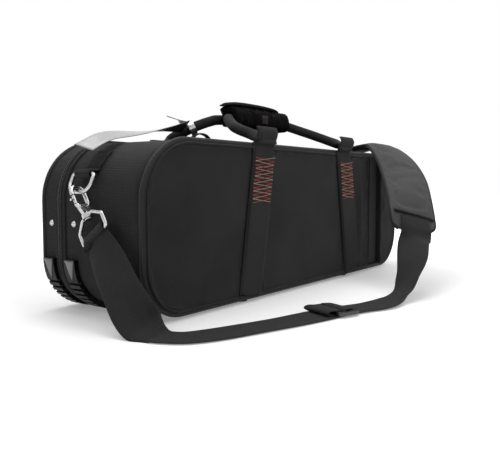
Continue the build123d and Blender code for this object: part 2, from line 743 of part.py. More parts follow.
def tag_strap():
    return ribbon(tag_route, tag_width, tag_thickness)


def build():
    os.makedirs("parts", exist_ok=True)
    save(base_shell(), "base_shell")
    save(base_liner(), "base_liner")
    save(sheet_pocket(), "sheet_pocket")
    save(end_panel(), "end_panel")
    save(front_panels(), "front_panels")
    save(front_straps(), "front_straps")
    save(piping(pocket_face_y + piping_setback), "front_piping")
    save(zip_tape(base_rim_y, -1), "base_zip_tape")
    save(bumpers(base_rim_y - tape_width - bumper_setback - bumper_width), "base_bumpers")
    save(base_feet(), "base_feet")
    save(rivets(base_rivet_y), "base_rivets")
    save(both_ends(ring_tab()), "ring_tabs")

    save(lid_shell(), "lid_shell")
    save(lid_liner(), "lid_liner")
    save(piping(rear_y - piping_setback), "rear_piping")
    save(zip_tape(lid_rim_y, 1), "lid_zip_tape")
    save(bumpers(lid_rim_y + tape_width + bumper_setback), "lid_bumpers")
    save(rivets(lid_rivet_y), "lid_rivets")
    save(rear_straps(), "rear_straps")

    save(carry_handle(strap_top_x, front_pivot_y, front_bends, 0), "front_handle")
    save(carry_handle(rear_strap_x, rear_pivot_y, rear_bends, rear_sway), "rear_handle")
    save(grip_wrap(), "grip_wrap")
    save(grip_flap(), "grip_flap")

    save(d_ring(), "left_ring")
    save(mirror(d_ring(), about=Plane.YZ), "right_ring")
    save(snap_hook(left_slant), "left_hook")
    save(mirror(snap_hook(0), about=Plane.YZ), "right_hook")
    save(hook_gate(left_slant), "left_gate")
    save(mirror(hook_gate(0), about=Plane.YZ), "right_gate")
    save(strap_frame(left_slant, left_twist), "left_frame")
    save(mirror(strap_frame(0, 0), about=Plane.YZ), "right_frame")

    save(strap_front(), "strap_front")
    save(strap_back(), "strap_back")
    save(shoulder_pad(), "shoulder_pad")
    save(strap_adjuster(), "strap_adjuster")
    save(strap_fold(), "strap_fold")

    for name, x in zip(("left", "right"), slider_places):
        save(zip_slider(x), f"{name}_slider")
    save(flat_puller(slider_places[0]), "left_puller")
    save(loop_puller(slider_places[1]), "right_puller")

    save(tag_ring(), "tag_ring")
    save(tag_strap(), "tag_strap")


build()
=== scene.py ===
# Trumpet case: cloth, padding, webbing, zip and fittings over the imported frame. Lengths are in metres.
import bmesh, bpy, json
from math import cos, exp, pi, radians, sin
from mathutils import Matrix, Vector, noise

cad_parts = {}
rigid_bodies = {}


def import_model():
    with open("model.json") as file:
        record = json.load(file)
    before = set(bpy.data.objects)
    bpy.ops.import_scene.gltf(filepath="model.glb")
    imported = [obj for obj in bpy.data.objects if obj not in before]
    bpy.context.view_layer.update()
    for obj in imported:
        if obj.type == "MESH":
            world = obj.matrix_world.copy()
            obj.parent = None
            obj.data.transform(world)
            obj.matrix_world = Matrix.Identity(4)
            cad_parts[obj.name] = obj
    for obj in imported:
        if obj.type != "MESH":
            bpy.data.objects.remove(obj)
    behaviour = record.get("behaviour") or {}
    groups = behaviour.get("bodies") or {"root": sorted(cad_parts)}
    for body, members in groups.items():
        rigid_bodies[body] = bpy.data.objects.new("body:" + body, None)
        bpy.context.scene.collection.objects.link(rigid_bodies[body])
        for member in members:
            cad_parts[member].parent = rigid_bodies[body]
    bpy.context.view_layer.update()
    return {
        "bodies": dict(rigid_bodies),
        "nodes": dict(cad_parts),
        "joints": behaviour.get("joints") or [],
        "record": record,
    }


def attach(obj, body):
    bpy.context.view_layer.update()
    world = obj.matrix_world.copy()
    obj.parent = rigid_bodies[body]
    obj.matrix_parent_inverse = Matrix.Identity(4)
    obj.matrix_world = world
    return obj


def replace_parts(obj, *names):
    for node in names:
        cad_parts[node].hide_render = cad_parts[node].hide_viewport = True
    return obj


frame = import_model()
nodes = frame["nodes"]
scene = bpy.context.scene
print("frame loaded with", len(nodes), "nodes")

# ---- camera, lights and floor
cameraSettings = dict(place=(-0.7725, -0.5526, 0.1565), yaw=53.57, pitch=3.99, lens=43.32, sensor=36)
camera = bpy.data.objects.new("camera", bpy.data.cameras.new("camera"))
camera.location = cameraSettings["place"]
camera.rotation_euler = (radians(90 - cameraSettings["pitch"]), 0, -radians(cameraSettings["yaw"]))
camera.data.lens, camera.data.sensor_width = cameraSettings["lens"], cameraSettings["sensor"]
camera.data.sensor_fit = "HORIZONTAL"
camera.data.clip_start = 0.02
scene.collection.objects.link(camera)
scene.camera = camera
scene.view_settings.view_transform = "Standard"


def addNode(tree, kind, inputs=None, **settings):
    node = tree.nodes.new(kind)
    for key, value in settings.items():
        setattr(node, key, value)
    for key, value in (inputs or {}).items():
        if isinstance(value, bpy.types.NodeSocket):
            tree.links.new(value, node.inputs[key])
        else:
            node.inputs[key].default_value = value
    return node


def maths(tree, operation, a, b=0.0):
    return addNode(tree, "ShaderNodeMath", {0: a, 1: b}, operation=operation).outputs[0]


def scaled(tree, value, factor, offset):
    return maths(tree, "ADD", maths(tree, "MULTIPLY", value, factor), offset)


def mixColour(tree, factor, a, b, blend="MIX"):
    inputs = {"Factor": factor, "A": a, "B": b}
    return addNode(tree, "ShaderNodeMix", inputs, data_type="RGBA", blend_type=blend).outputs[2]


def cloud(tree, where, scale, detail, distortion=0.0):
    inputs = {"Vector": where, "Scale": scale, "Detail": detail, "Distortion": distortion}
    return addNode(tree, "ShaderNodeTexNoise", inputs).outputs["Fac"]


def ranged(tree, value, low, high, toLow=0.0, toHigh=1.0):
    inputs = {"Value": value, "From Min": low, "From Max": high, "To Min": toLow, "To Max": toHigh}
    return addNode(tree, "ShaderNodeMapRange", inputs).outputs[0]


def bumped(tree, height, distance, strength, inputs=()):
    inputs = {"Height": height, "Distance": distance, "Strength": strength, **dict(inputs)}
    return addNode(tree, "ShaderNodeBump", inputs).outputs[0]


def feed(tree, node, sockets):
    for key, value in sockets.items():
        tree.links.new(value, node.inputs[key])


def newMaterial(name, sockets):
    material = bpy.data.materials.new(name)
    material.use_nodes = True
    shader = material.node_tree.nodes["Principled BSDF"]
    for key, value in sockets.items():
        shader.inputs[key].default_value = value
    return material, material.node_tree, shader


lightSettings = {
    "key": {"place": (0.1, -1.7, 1.7), "aim": (0.1, 0, 0.1), "size": 1.5, "watts": 15},
    "top": {"place": (0.1, 0.2, 1.9), "aim": (0, 0, 0.15), "size": 1.8, "watts": 26},
    "left": {"place": (-1.5, 0.1, 1.7), "aim": (-0.3, 0, 0.2), "size": 0.8, "watts": 5},
    "ambient": 0.20,
    "backdrop": 1.0,
    "floorLift": 0.26,
    "floorFade": (0.36, 0.85),
    "floorTone": (0.86, 0.86, 0.86, 1),
    "floorReach": 8,
}
for name in ("key", "top", "left"):
    light = lightSettings[name]
    data = bpy.data.lights.new(name, "AREA")
    data.size, data.energy = light["size"], light["watts"]
    lamp = bpy.data.objects.new(name, data)
    lamp.location = light["place"]
    lamp.rotation_euler = (Vector(light["aim"]) - Vector(light["place"])).to_track_quat("-Z", "Y").to_euler()
    scene.collection.objects.link(lamp)


def seenDirectly(tree):
    # 1 for camera, glossy and transmission rays
    path = addNode(tree, "ShaderNodeLightPath")
    found = maths(tree, "MAXIMUM", path.outputs["Is Camera Ray"], path.outputs["Is Glossy Ray"])
    return maths(tree, "MAXIMUM", found, path.outputs["Is Transmission Ray"])


world = bpy.data.worlds.new("studio")
world.use_nodes = True
scene.world = world
tree = world.node_tree
background = tree.nodes["Background"]
background.inputs["Color"].default_value = (1, 1, 1, 1)
lift = lightSettings["backdrop"] - lightSettings["ambient"]
feed(tree, background, {"Strength": scaled(tree, seenDirectly(tree), lift, lightSettings["ambient"])})

floorMaterial, tree, shader = newMaterial("studioFloor", {
    "Base Color": lightSettings["floorTone"], "Roughness": 0.55, "Specular IOR Level": 0.25,
    "Emission Color": (1, 1, 1, 1)})
where = addNode(tree, "ShaderNodeTexCoord").outputs["Object"]
away = addNode(tree, "ShaderNodeVectorMath", {0: where}, operation="LENGTH")
fade = ranged(tree, away.outputs["Value"], *lightSettings["floorFade"], lightSettings["floorLift"])
feed(tree, shader, {"Emission Strength": maths(tree, "MULTIPLY", seenDirectly(tree), fade)})
reach = lightSettings["floorReach"]
floorMesh = bpy.data.meshes.new("floor")
corners = [(-reach, -reach, 0), (reach, -reach, 0), (reach, reach, 0), (-reach, reach, 0)]
floorMesh.from_pydata(corners, [], [(0, 1, 2, 3)])
floorMesh.materials.append(floorMaterial)
floor = bpy.data.objects.new("floor", floorMesh)
scene.collection.objects.link(floor)
print("camera, lights and floor are set")


# ---- shared effects
def newGroup(name, inputs, outputs):
    group = bpy.data.node_groups.new(name, "ShaderNodeTree")
    for kind, sockets in (("INPUT", inputs), ("OUTPUT", outputs)):
        for socketName, socketType in sockets.items():
            group.interface.new_socket(socketName, in_out=kind, socket_type="NodeSocket" + socketType)
    return group, group.nodes.new("NodeGroupInput").outputs, group.nodes.new("NodeGroupOutput")


def weaveGroup():
    # threads over and under each other, or ribs across the run; Coordinates are metres across and along
    group, given, out = newGroup(
        "weave", {"Coordinates": "Vector", "Thread": "Float", "Ribs": "Float", "Rib Pitch": "Float", "Uneven": "Float"},
        {"Height": "Float", "Shade": "Float"})
    where, thread = given["Coordinates"], given["Thread"]
    parts = addNode(group, "ShaderNodeSeparateXYZ", {0: where})
    swing = maths(group, "MULTIPLY", maths(group, "SUBTRACT", cloud(group, where, 90.0, 2.0), 0.5), given["Uneven"])

    def wave(axis, pitch):
        turns = maths(group, "DIVIDE", maths(group, "MULTIPLY", parts.outputs[axis], 1000 * 2 * pi), pitch)
        return maths(group, "SINE", maths(group, "ADD", turns, maths(group, "MULTIPLY", swing, 6.0)))

    plain = scaled(group, maths(group, "MULTIPLY", wave(0, thread), wave(1, thread)), 0.5, 0.5)
    rib = maths(group, "POWER", scaled(group, wave(1, given["Rib Pitch"]), 0.5, 0.5), 0.6)
    ribbed = maths(group, "ADD", rib, maths(group, "MULTIPLY", maths(group, "ADD", wave(0, thread), 1.0), 0.15))
    height = addNode(group, "ShaderNodeMix", {"Factor": given["Ribs"], "A": plain, "B": ribbed}).outputs[0]
    grain = maths(group, "MULTIPLY", cloud(group, where, 900.0, 3.0), 0.7)
    # Shade is painted shade: the weave's height darkens the hollows between threads, with random grain added
    feed(group, out, {"Height": height, "Shade": scaled(group, height, 0.45, grain)})
    return group


def toneGroup():
    # cloth colour with painted shade in the weave's hollows and paler thread tops, random blotches and a few specks of
    # lint
    group, given, out = newGroup("clothTone", {
        "Coordinates": "Vector", "Deep": "Color", "Pale": "Color", "Shade": "Float", "Blotch": "Float",
        "Lint": "Float"}, {"Color": "Color"})
    where = given["Coordinates"]
    # painted shade: Deep in the weave's hollows, Pale on the thread tops
    base = mixColour(group, given["Shade"], given["Deep"], given["Pale"])
    tone = scaled(group, maths(group, "SUBTRACT", cloud(group, where, 14.0, 4.0), 0.5), given["Blotch"], 1.0)
    cloudy = addNode(group, "ShaderNodeCombineColor", {0: tone, 1: tone, 2: tone}).outputs[0]
    shaded = mixColour(group, 1.0, base, cloudy, "MULTIPLY")
    specks = ranged(group, cloud(group, where, 420.0, 1.0), 0.70, 0.80)
    amount = maths(group, "MULTIPLY", specks, given["Lint"])
    feed(group, out, {"Color": mixColour(group, amount, shaded, (0.16, 0.16, 0.165, 1))})
    return group


def foldGroup():
    # slow folds and creases of cloth on its backing
    group, given, out = newGroup(
        "folds", {"Coordinates": "Vector", "Scale": "Float", "Creases": "Float"}, {"Height": "Float"})
    where, scale = given["Coordinates"], given["Scale"]
    slow = cloud(group, where, scale, 3.0, 0.4)
    fast = cloud(group, where, maths(group, "MULTIPLY", scale, 4.0), 4.0)
    ridge = maths(group, "SUBTRACT", 1.0, maths(group, "ABSOLUTE", maths(group, "SUBTRACT", fast, 0.5)))
    feed(group, out, {"Height": maths(group, "ADD", slow, maths(group, "MULTIPLY", ridge, given["Creases"]))})
    return group


def wearAndReflectionGroup():
    # hairline scratches and dull smears on metal and moulded plastic; at nickel's large scale and amount the dark
    # streaks are painted dark reflection
    group, given, out = newGroup(
        "wearAndReflection", {"Coordinates": "Vector", "Amount": "Float", "Scale": "Float"}, {"Mask": "Float", "Smear": "Float"})
    inputs = {0: given["Coordinates"], "Scale": given["Scale"]}
    place = addNode(group, "ShaderNodeVectorMath", inputs, operation="SCALE").outputs[0]
    stretch = addNode(group, "ShaderNodeMapping", {"Vector": place, "Scale": (40.0, 900.0, 260.0)}).outputs[0]
    scratches = ranged(group, cloud(group, stretch, 1.0, 5.0, 0.6), 0.60, 0.72)
    feed(group, out, {
        "Mask": maths(group, "MULTIPLY", scratches, given["Amount"]), "Smear": cloud(group, place, 60.0, 5.0)})
    return group


groups = {"weave": weaveGroup(), "tone": toneGroup(), "folds": foldGroup(), "wearAndReflection": wearAndReflectionGroup()}


def useGroup(tree, name, inputs):
    return addNode(tree, "ShaderNodeGroup", inputs, node_tree=groups[name]).outputs


def tint(value):
    # a grey for a single number
    return (*value, 1) if isinstance(value, tuple) else (value, value, value, 1)


clothDefaults = dict(
    specular=0.10, sheen=0.10, uv=True, ribs=0.0, ribPitch=2.0, uneven=0.4, blotch=0.35, lint=0.25, foldScale=16.0,
    creases=0.4, foldDepth=0.0015, depth=0.00025)
hardDefaults = dict(metallic=0.0, specular=0.5, coat=0.0, scale=1.0, grain=1200.0, depth=0.00004)


def clothMaterial(name, settings):
    s = {**clothDefaults, **settings}
    material, tree, shader = newMaterial(name, {
        "Specular IOR Level": s["specular"], "Sheen Weight": s["sheen"], "Sheen Roughness": 0.45,
        "Sheen Tint": tint(0.6)})
    source = addNode(tree, "ShaderNodeTexCoord").outputs["UV" if s["uv"] else "Object"]
    weave = useGroup(tree, "weave", {
        "Coordinates": source, "Thread": s["thread"], "Ribs": s["ribs"], "Rib Pitch": s["ribPitch"],
        "Uneven": s["uneven"]})
    tone = useGroup(tree, "tone", {
        "Coordinates": source, "Deep": tint(s["deep"]), "Pale": tint(s["pale"]), "Shade": weave["Shade"],
        "Blotch": s["blotch"], "Lint": s["lint"]})
    folds = useGroup(tree, "folds", {"Coordinates": source, "Scale": s["foldScale"], "Creases": s["creases"]})
    slow = bumped(tree, folds["Height"], s["foldDepth"], 0.6)
    feed(tree, shader, {
        "Base Color": tone["Color"],
        "Roughness": ranged(tree, weave["Shade"], 0.0, 1.0, s["rough"] + 0.12, s["rough"] - 0.06),
        "Normal": bumped(tree, weave["Height"], s["depth"], 0.8, {"Normal": slow})})
    return material


def hardMaterial(name, settings):
    s = {**hardDefaults, **settings}
    material, tree, shader = newMaterial(name, {
        "Metallic": s["metallic"], "Specular IOR Level": s["specular"], "Coat Weight": s["coat"],
        "Coat Roughness": 0.12})
    source = addNode(tree, "ShaderNodeTexCoord").outputs["Object"]
    wearAndReflection = useGroup(tree, "wearAndReflection", {"Coordinates": source, "Amount": s["wearAndReflection"], "Scale": s["scale"]})
    smeared = ranged(tree, wearAndReflection["Smear"], 0.3, 0.7, s["rough"] * 0.75, s["rough"] * 1.5)
    feed(tree, shader, {
        # the worn colour is real wear, and on nickel it is painted dark reflection
        "Base Color": mixColour(tree, wearAndReflection["Mask"], tint(s["colour"]), tint(s["wornAndReflected"])),
        "Roughness": maths(tree, "ADD", smeared, maths(tree, "MULTIPLY", wearAndReflection["Mask"], 0.2)),
        "Normal": bumped(tree, cloud(tree, source, s["grain"], 3.0), s["depth"], 0.5)})
    return material


clothSettings = {
    "caseCloth": dict(deep=0.008, pale=0.043, thread=0.9, ribs=0.75, ribPitch=2.1, rough=0.74, depth=0.0003,
                      foldDepth=0.0012, specular=0.06, blotch=0.6),
    "panelCloth": dict(deep=0.009, pale=0.043, thread=0.75, rough=0.8, sheen=0.08, depth=0.00022, foldDepth=0.0014,
                       foldScale=12.0, blotch=0.8, specular=0.06),
    "webbing": dict(deep=0.008, pale=0.042, thread=0.7, ribs=0.85, ribPitch=1.7, rough=0.74, sheen=0.08, depth=0.0004,
                    foldDepth=0.0008, lint=0.35, specular=0.06),
    "frontWebbing": dict(deep=0.008, pale=0.042, thread=0.7, ribs=0.7, ribPitch=1.5, rough=0.78, sheen=0.08,
                         depth=0.0003, foldDepth=0.0012, foldScale=12.0, blotch=0.7, specular=0.06),
    "handleCloth": dict(deep=0.008, pale=0.045, thread=1.1, ribs=0.35, ribPitch=1.5, rough=0.72, sheen=0.08,
                        depth=0.0004, foldDepth=0.0009, specular=0.06),
    "gripCloth": dict(deep=0.001, pale=0.011, thread=0.5, rough=0.7, sheen=0.0, depth=0.00012, foldDepth=0.0025,
                      foldScale=30.0, creases=0.8, specular=0.02, uv=False, lint=0.1),
    "padCloth": dict(deep=0.03, pale=0.09, thread=0.8, ribs=0.2, rough=0.66, sheen=0.12, foldDepth=0.0018,
                     foldScale=22.0, specular=0.12),
    "binding": dict(deep=0.006, pale=0.03, thread=0.6, ribs=0.6, ribPitch=1.2, rough=0.66, depth=0.0002),
    "zipTape": dict(deep=0.005, pale=0.026, thread=0.6, ribs=0.5, ribPitch=1.1, rough=0.68, depth=0.0002),
    "plush": dict(deep=0.006, pale=0.03, thread=0.5, rough=0.85, sheen=0.2, depth=0.0005, foldDepth=0.001, uv=False,
                  uneven=3.0, specular=0.05),
    "piping": dict(deep=0.004, pale=0.022, thread=1.0, ribs=0.3, ribPitch=1.6, rough=0.58, depth=0.0003, specular=0.2,
                   uv=False, foldScale=40.0),
}
hardSettings = {
    # nickel: the wide dark streaks of its worn colour are painted dark reflection
    "nickel": dict(colour=(0.46, 0.46, 0.47), wornAndReflected=0.10, metallic=1.0, rough=0.20, wearAndReflection=0.8, scale=0.4),
    "gunmetal": dict(colour=(0.075, 0.075, 0.08), wornAndReflected=0.25, metallic=0.9, rough=0.32, wearAndReflection=0.5),
    "guard": dict(colour=(0.006, 0.006, 0.007), wornAndReflected=(0.03, 0.03, 0.031), rough=0.34, wearAndReflection=0.5, coat=0.02,
                  specular=0.16, depth=0.0001),
    # a mid grey that paints the reflection in a guard's leaf recess
    "guardLeaf": dict(colour=(0.16, 0.16, 0.165), wornAndReflected=0.07, rough=0.34, wearAndReflection=0.5, metallic=0.3),
    "rubber": dict(colour=0.012, wornAndReflected=0.05, rough=0.62, wearAndReflection=0.6, specular=0.3, grain=500.0, depth=0.0002),
    "coil": dict(colour=0.010, wornAndReflected=0.04, rough=0.34, wearAndReflection=0.3),
    "strip": dict(colour=(0.36, 0.36, 0.37), wornAndReflected=0.22, rough=0.30, wearAndReflection=0.35, coat=0.25, grain=700.0, depth=0.00015),
    "stripBack": dict(colour=(0.010, 0.010, 0.011), wornAndReflected=0.05, rough=0.4, wearAndReflection=0.3),
    "redThread": dict(colour=(0.26, 0.045, 0.035), wornAndReflected=(0.36, 0.14, 0.12), rough=0.5, wearAndReflection=0.6, grain=2500.0),
    "creamThread": dict(colour=(0.42, 0.24, 0.18), wornAndReflected=(0.22, 0.10, 0.08), rough=0.5, wearAndReflection=0.6, grain=2500.0),
    "blackThread": dict(colour=0.012, wornAndReflected=0.05, rough=0.45, wearAndReflection=0.6, grain=2500.0),
}
materials = {name: clothMaterial(name, settings) for name, settings in clothSettings.items()}
materials.update({name: hardMaterial(name, settings) for name, settings in hardSettings.items()})
print("materials made:", len(materials))


# ---- building helpers
def addPiece(name, mesh, material, body):
    piece = bpy.data.objects.new(name, mesh)
    scene.collection.objects.link(piece)
    for item in material if isinstance(material, tuple) else (material,):
        mesh.materials.append(materials[item])
    mesh.shade_smooth()
    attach(piece, body)
    return piece


def meshOf(name, points, faces, corners=()):
    mesh = bpy.data.meshes.new(name)
    mesh.from_pydata([tuple(p) for p in points], [], faces)
    if corners:
        layer = mesh.uv_layers.new(name="UVMap")
        layer.data.foreach_set("uv", [value for corner in corners for value in corner])
    mesh.update()
    return mesh


def rowMesh(name, rows, uv, closed=False, capStart=False, capEnd=False):
    # rows of points joined into a skin; uv gives metres across and along for a row and a column
    count = len(rows[0])
    points = [p for row in rows for p in row]
    faces, corners = [], []
    for i in range(len(rows) - 1):
        for j in range(count if closed else count - 1):
            k = (j + 1) % count
            faces.append((i * count + j, i * count + k, (i + 1) * count + k, (i + 1) * count + j))
            corners += [uv(i, j), uv(i, j + 1), uv(i + 1, j + 1), uv(i + 1, j)]
    if capStart:
        faces.append(tuple(range(count))[::-1])
        corners += [uv(0, j) for j in range(count)][::-1]
    if capEnd:
        last = len(rows) - 1
        faces.append(tuple(last * count + j for j in range(count)))
        corners += [uv(last, j) for j in range(count)]
    return meshOf(name, points, faces, corners)


def turnOutwards(mesh):
    work = bmesh.new()
    work.from_mesh(mesh)
    bmesh.ops.recalc_face_normals(work, faces=work.faces)
    work.to_mesh(mesh)
    work.free()


def skin(name, rows, uv, material, body, capStart=True, capEnd=True):
    # a closed skin through rows of points
    mesh = rowMesh(name, rows, uv, closed=True, capStart=capStart, capEnd=capEnd)
    turnOutwards(mesh)
    return addPiece(name, mesh, material, body)


def flatUv(rows, across=0, along=2):
    return lambda i, j: (rows[i][j % len(rows[i])][across], rows[i][j % len(rows[i])][along])


def applyModifiers(piece):
    depsgraph = bpy.context.evaluated_depsgraph_get()
    depsgraph.update()
    made = bpy.data.meshes.new_from_object(piece.evaluated_get(depsgraph), depsgraph=depsgraph)
    old = piece.data
    piece.modifiers.clear()
    piece.data = made
    bpy.data.meshes.remove(old)


def between(points, steps):
    # a smooth line through the points, as Catmull-Rom runs
    points = [Vector(p) for p in points]
    ends = [points[0] * 2 - points[1]] + points + [points[-1] * 2 - points[-2]]
    made = []
    for a, b, c, d in zip(ends, ends[1:], ends[2:], ends[3:]):
        for i in range(steps):
            t = i / steps
            made.append(0.5 * ((2 * b) + (c - a) * t + (2 * a - 5 * b + 4 * c - d) * t * t
                               + (3 * b - 3 * c + d - a) * t ** 3))
    return made + [points[-1]]


def softBend(points, steps):
    # runs joined by bends as wide as the runs allow
    middles = [(a + b) / 2 for a, b in zip(points, points[1:])]
    made = [points[0]]
    for start, corner, end in zip(middles, points[1:-1], middles[1:]):
        for i in range(steps + 1):
            t = i / steps
            p = start * (1 - t) ** 2 + corner * 2 * t * (1 - t) + end * t * t
            if (p - made[-1]).length > 1e-5:
                made.append(p)
    return made + [points[-1]]


def lengths(points):
    made = [0.0]
    for a, b in zip(points, points[1:]):
        made.append(made[-1] + (b - a).length)
    return made


def runs(line, closed=False):
    # the way the line runs at each of its points
    last = len(line) - 1
    if closed:
        return [(line[(i + 1) % len(line)] - line[i - 1]).normalized() for i in range(len(line))]
    return [(line[min(i + 1, last)] - line[max(i - 1, 0)]).normalized() for i in range(len(line))]


def square(side, way):
    return (side - way * side.dot(way)).normalized()


def roundTrip(columns):
    # shares from -1 to 1 along one face of a band, then back along the other, each with its face's sign
    return [(sign, sign * ((k / (columns - 1)) * 2 - 1)) for sign in (1, -1) for k in range(columns)]


def noiseAt(p, scale, seed=0.0):
    return noise.noise(Vector((p[0] * scale + seed, p[1] * scale - seed, p[2] * scale + 2 * seed)))


def depthSteps(a, b, count):
    return [a + (b - a) * i / count for i in range(count + 1)]


caseSize = dict(
    half=0.330, low=0.0065, top=0.2065, lowRadius=0.060, topRadius=0.072, wall=0.008, frontWall=-0.079,
    pocketFace=-0.0875, rim=0.052, lidRim=0.053, rear=0.089, mouth=0.212, endPanel=0.262, arcSteps=16,
    runSteps=(27, 7, 52, 7, 27))
middleZ = (caseSize["low"] + caseSize["top"]) / 2


def outlineRing(grow=0.0):
    # the case's side outline from the middle of its underside, each point with its outward direction, as x and z
    half, low, top = caseSize["half"] + grow, caseSize["low"] - grow, caseSize["top"] + grow
    lowR, topR = caseSize["lowRadius"] + grow, caseSize["topRadius"] + grow
    arcs = [(-half + lowR, low + lowR, lowR, 270), (-half + topR, top - topR, topR, 180),
            (half - topR, top - topR, topR, 90), (half - lowR, low + lowR, lowR, 0)]
    ring, last = [], (0.0, low, 0.0, -1.0)
    for (cx, cz, r, start), count in zip(arcs, caseSize["runSteps"]):
        angles = [radians(start - 90 * i / caseSize["arcSteps"]) for i in range(caseSize["arcSteps"] + 1)]
        turn = [(cx + r * cos(a), cz + r * sin(a), cos(a), sin(a)) for a in angles]
        ring += [tuple(a + (b - a) * i / count for a, b in zip(last, turn[0])) for i in range(count)]
        ring += turn[:-1]
        last = turn[-1]
    count = caseSize["runSteps"][-1]
    return ring + [(last[0] * (1 - i / count), *last[1:]) for i in range(count)]


ringZero = outlineRing()
ringDistance = lengths([Vector((p[0], 0, p[1])) for p in ringZero + ringZero[:1]])


def hoop(y, grow, keep=1.0):
    # one turn of the outline at a depth; keep below 1 draws it towards the middle of the wall
    return [Vector((x * keep, y, middleZ + (z - middleZ) * keep)) for x, z, _, _ in outlineRing(grow)]


def shellProfile(face, rim, shares, corner, start, count, inner):
    # stations of depth, margin and share of the wall kept, from the outer face round the rim to the inner face
    way = 1 if rim > face else -1
    wall = -caseSize["wall"]
    floorY = face - way * wall
    return ([(face, -0.002, k) for k in shares] + [(face, -corner, 1.0), (face + way * corner, 0, 1.0)]
            + [(y, 0, 1.0) for y in depthSteps(start, rim - way * 0.001, count)]
            + [(rim, -0.0010, 1.0), (rim, wall + 0.001, 1.0), (rim - way * 0.001, wall, 1.0)]
            + [(y, wall, 1.0) for y in (*inner, floorY)] + [(floorY, wall, k) for k in (0.9, 0.5, 0.02)])


def shellPiece(name, profile, body, bulge=0.0009):
    # a stiff shell whose cloth swells a little from wall to wall
    rows = [hoop(*station) for station in profile]
    for row, (_, grow, keep) in zip(rows, profile):
        for p, (_, _, outX, outZ) in zip(row, ringZero):
            if grow > -0.004 and keep == 1.0:
                swell = bulge * (0.5 + 0.8 * noiseAt(p, 9.0, 3.0))
                p.x += outX * swell
                p.z += outZ * swell if outZ > -0.5 else 0
    flat = flatUv(rows)
    return skin(name, rows, lambda i, j: (rows[i][0].y, ringDistance[j]) if profile[i][2] == 1.0 else flat(i, j),
                "caseCloth", body)


face, wall = caseSize["pocketFace"], caseSize["frontWall"]
baseProfile = shellProfile(wall, caseSize["rim"], (0.02, 0.4, 0.8, 0.97), 0.0016, -0.070, 14, (0.02, -0.03))
lidProfile = shellProfile(caseSize["rear"], caseSize["lidRim"], (0.02, 0.3, 0.6, 0.8, 0.95), 0.0018, 0.082, 4, (0.068,))
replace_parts(shellPiece("caseBody", baseProfile, "case"), "base_shell")
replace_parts(shellPiece("lidBody", lidProfile, "lid"), "lid_shell")
print("shells made")


# ---- front pocket, padded panels and the end panel
def plateRing(low, high, y, grow, keep=1.0, mouthY=None):
    # one turn of a plate between two values of x; mouthY is the depth of its open end
    middle, row = (low + high) / 2, []
    for x, z, _, _ in outlineRing(grow):
        x = min(max(x, low), high)
        depth = mouthY if mouthY is not None and x >= high - 1e-6 else y
        row.append(Vector((middle + (x - middle) * keep, depth, middleZ + (z - middleZ) * keep)))
    return row


def platePiece(name, low, high, profile, capEnd):
    rows = [plateRing(low, high, *station) for station in profile]
    return skin(name, rows, flatUv(rows), "caseCloth", "case", capEnd=capEnd)


pocketProfile = [(face, -0.001, k) for k in (0.02, 0.3, 0.6, 0.9, 0.99)] + [
    (face, -0.0008), (face + 0.0008, 0, 1.0, face + 0.0012), (face + 0.003, 0, 1.0, face + 0.0018),
    (wall, 0, 1.0, face + 0.0024), (wall, -0.009, 1.0, face + 0.0025)] + [
    (face + 0.0025, -0.0095, k) for k in (1.0, 0.9, 0.5, 0.02)]
pocket = platePiece("pocketSheet", -caseSize["half"], caseSize["mouth"], pocketProfile, True)
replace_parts(pocket, "sheet_pocket")


def roundedSides(corners, steps=10):
    # a four-cornered outline, from its lower left corner round, as four sides that meet in the middle of its corners
    arcs = []
    for i in range(4):
        place, radius = Vector(corners[i][:2]), corners[i][2]
        before = (Vector(corners[i - 1][:2]) - place).normalized()
        after = (Vector(corners[(i + 1) % 4][:2]) - place).normalized()
        half = before.angle(after) / 2
        reach = radius / sin(half)
        centre = place + (before + after).normalized() * reach
        a, b = place + before * reach * cos(half) - centre, place + after * reach * cos(half) - centre
        arcs.append([centre + a.lerp(b, k / steps).normalized() * radius for k in range(steps + 1)])
    return [arcs[i][steps // 2:] + arcs[(i + 1) % 4][:steps // 2 + 1] for i in range(4)]


def evenly(points, shares):
    # points on a line at shares of its length
    marks = lengths(points)
    made, k = [], 0
    for share in shares:
        target = share * marks[-1]
        while k < len(points) - 2 and marks[k + 1] < target:
            k += 1
        span = marks[k + 1] - marks[k] or 1
        made.append(points[k].lerp(points[k + 1], min(1, max(0, (target - marks[k]) / span))))
    return made


def edgeShares(count, first):
    # shares of a run that crowd towards both of its ends
    near = [0.0] + [first * k for k in (0.25, 0.6, 1, 1.8)]
    inner = [i / count for i in range(count + 1) if 1.8 * first < i / count < 1 - 1.8 * first]
    return sorted({*near, *inner, *[1 - s for s in near]})


def patchPoints(corners, across, up):
    low, right, top, left = roundedSides(corners)
    low, top = evenly(low, across), evenly(top[::-1], across)
    right, left = evenly(right, up), evenly(left[::-1], up)
    rows = []
    for j, v in enumerate(up):
        row = []
        for i, u in enumerate(across):
            p = low[i] * (1 - v) + top[i] * v + left[j] * (1 - u) + right[j] * u
            p -= low[0] * (1 - u) * (1 - v) + low[-1] * u * (1 - v) + top[0] * (1 - u) * v + top[-1] * u * v
            row.append(p)
        rows.append(row)
    return rows, low + right + top[::-1] + left[::-1]


clothSetup = dict(
    quality=6, mass=0.25, tension_stiffness=18, compression_stiffness=18, shear_stiffness=8, bending_stiffness=0.4,
    use_pressure=True)


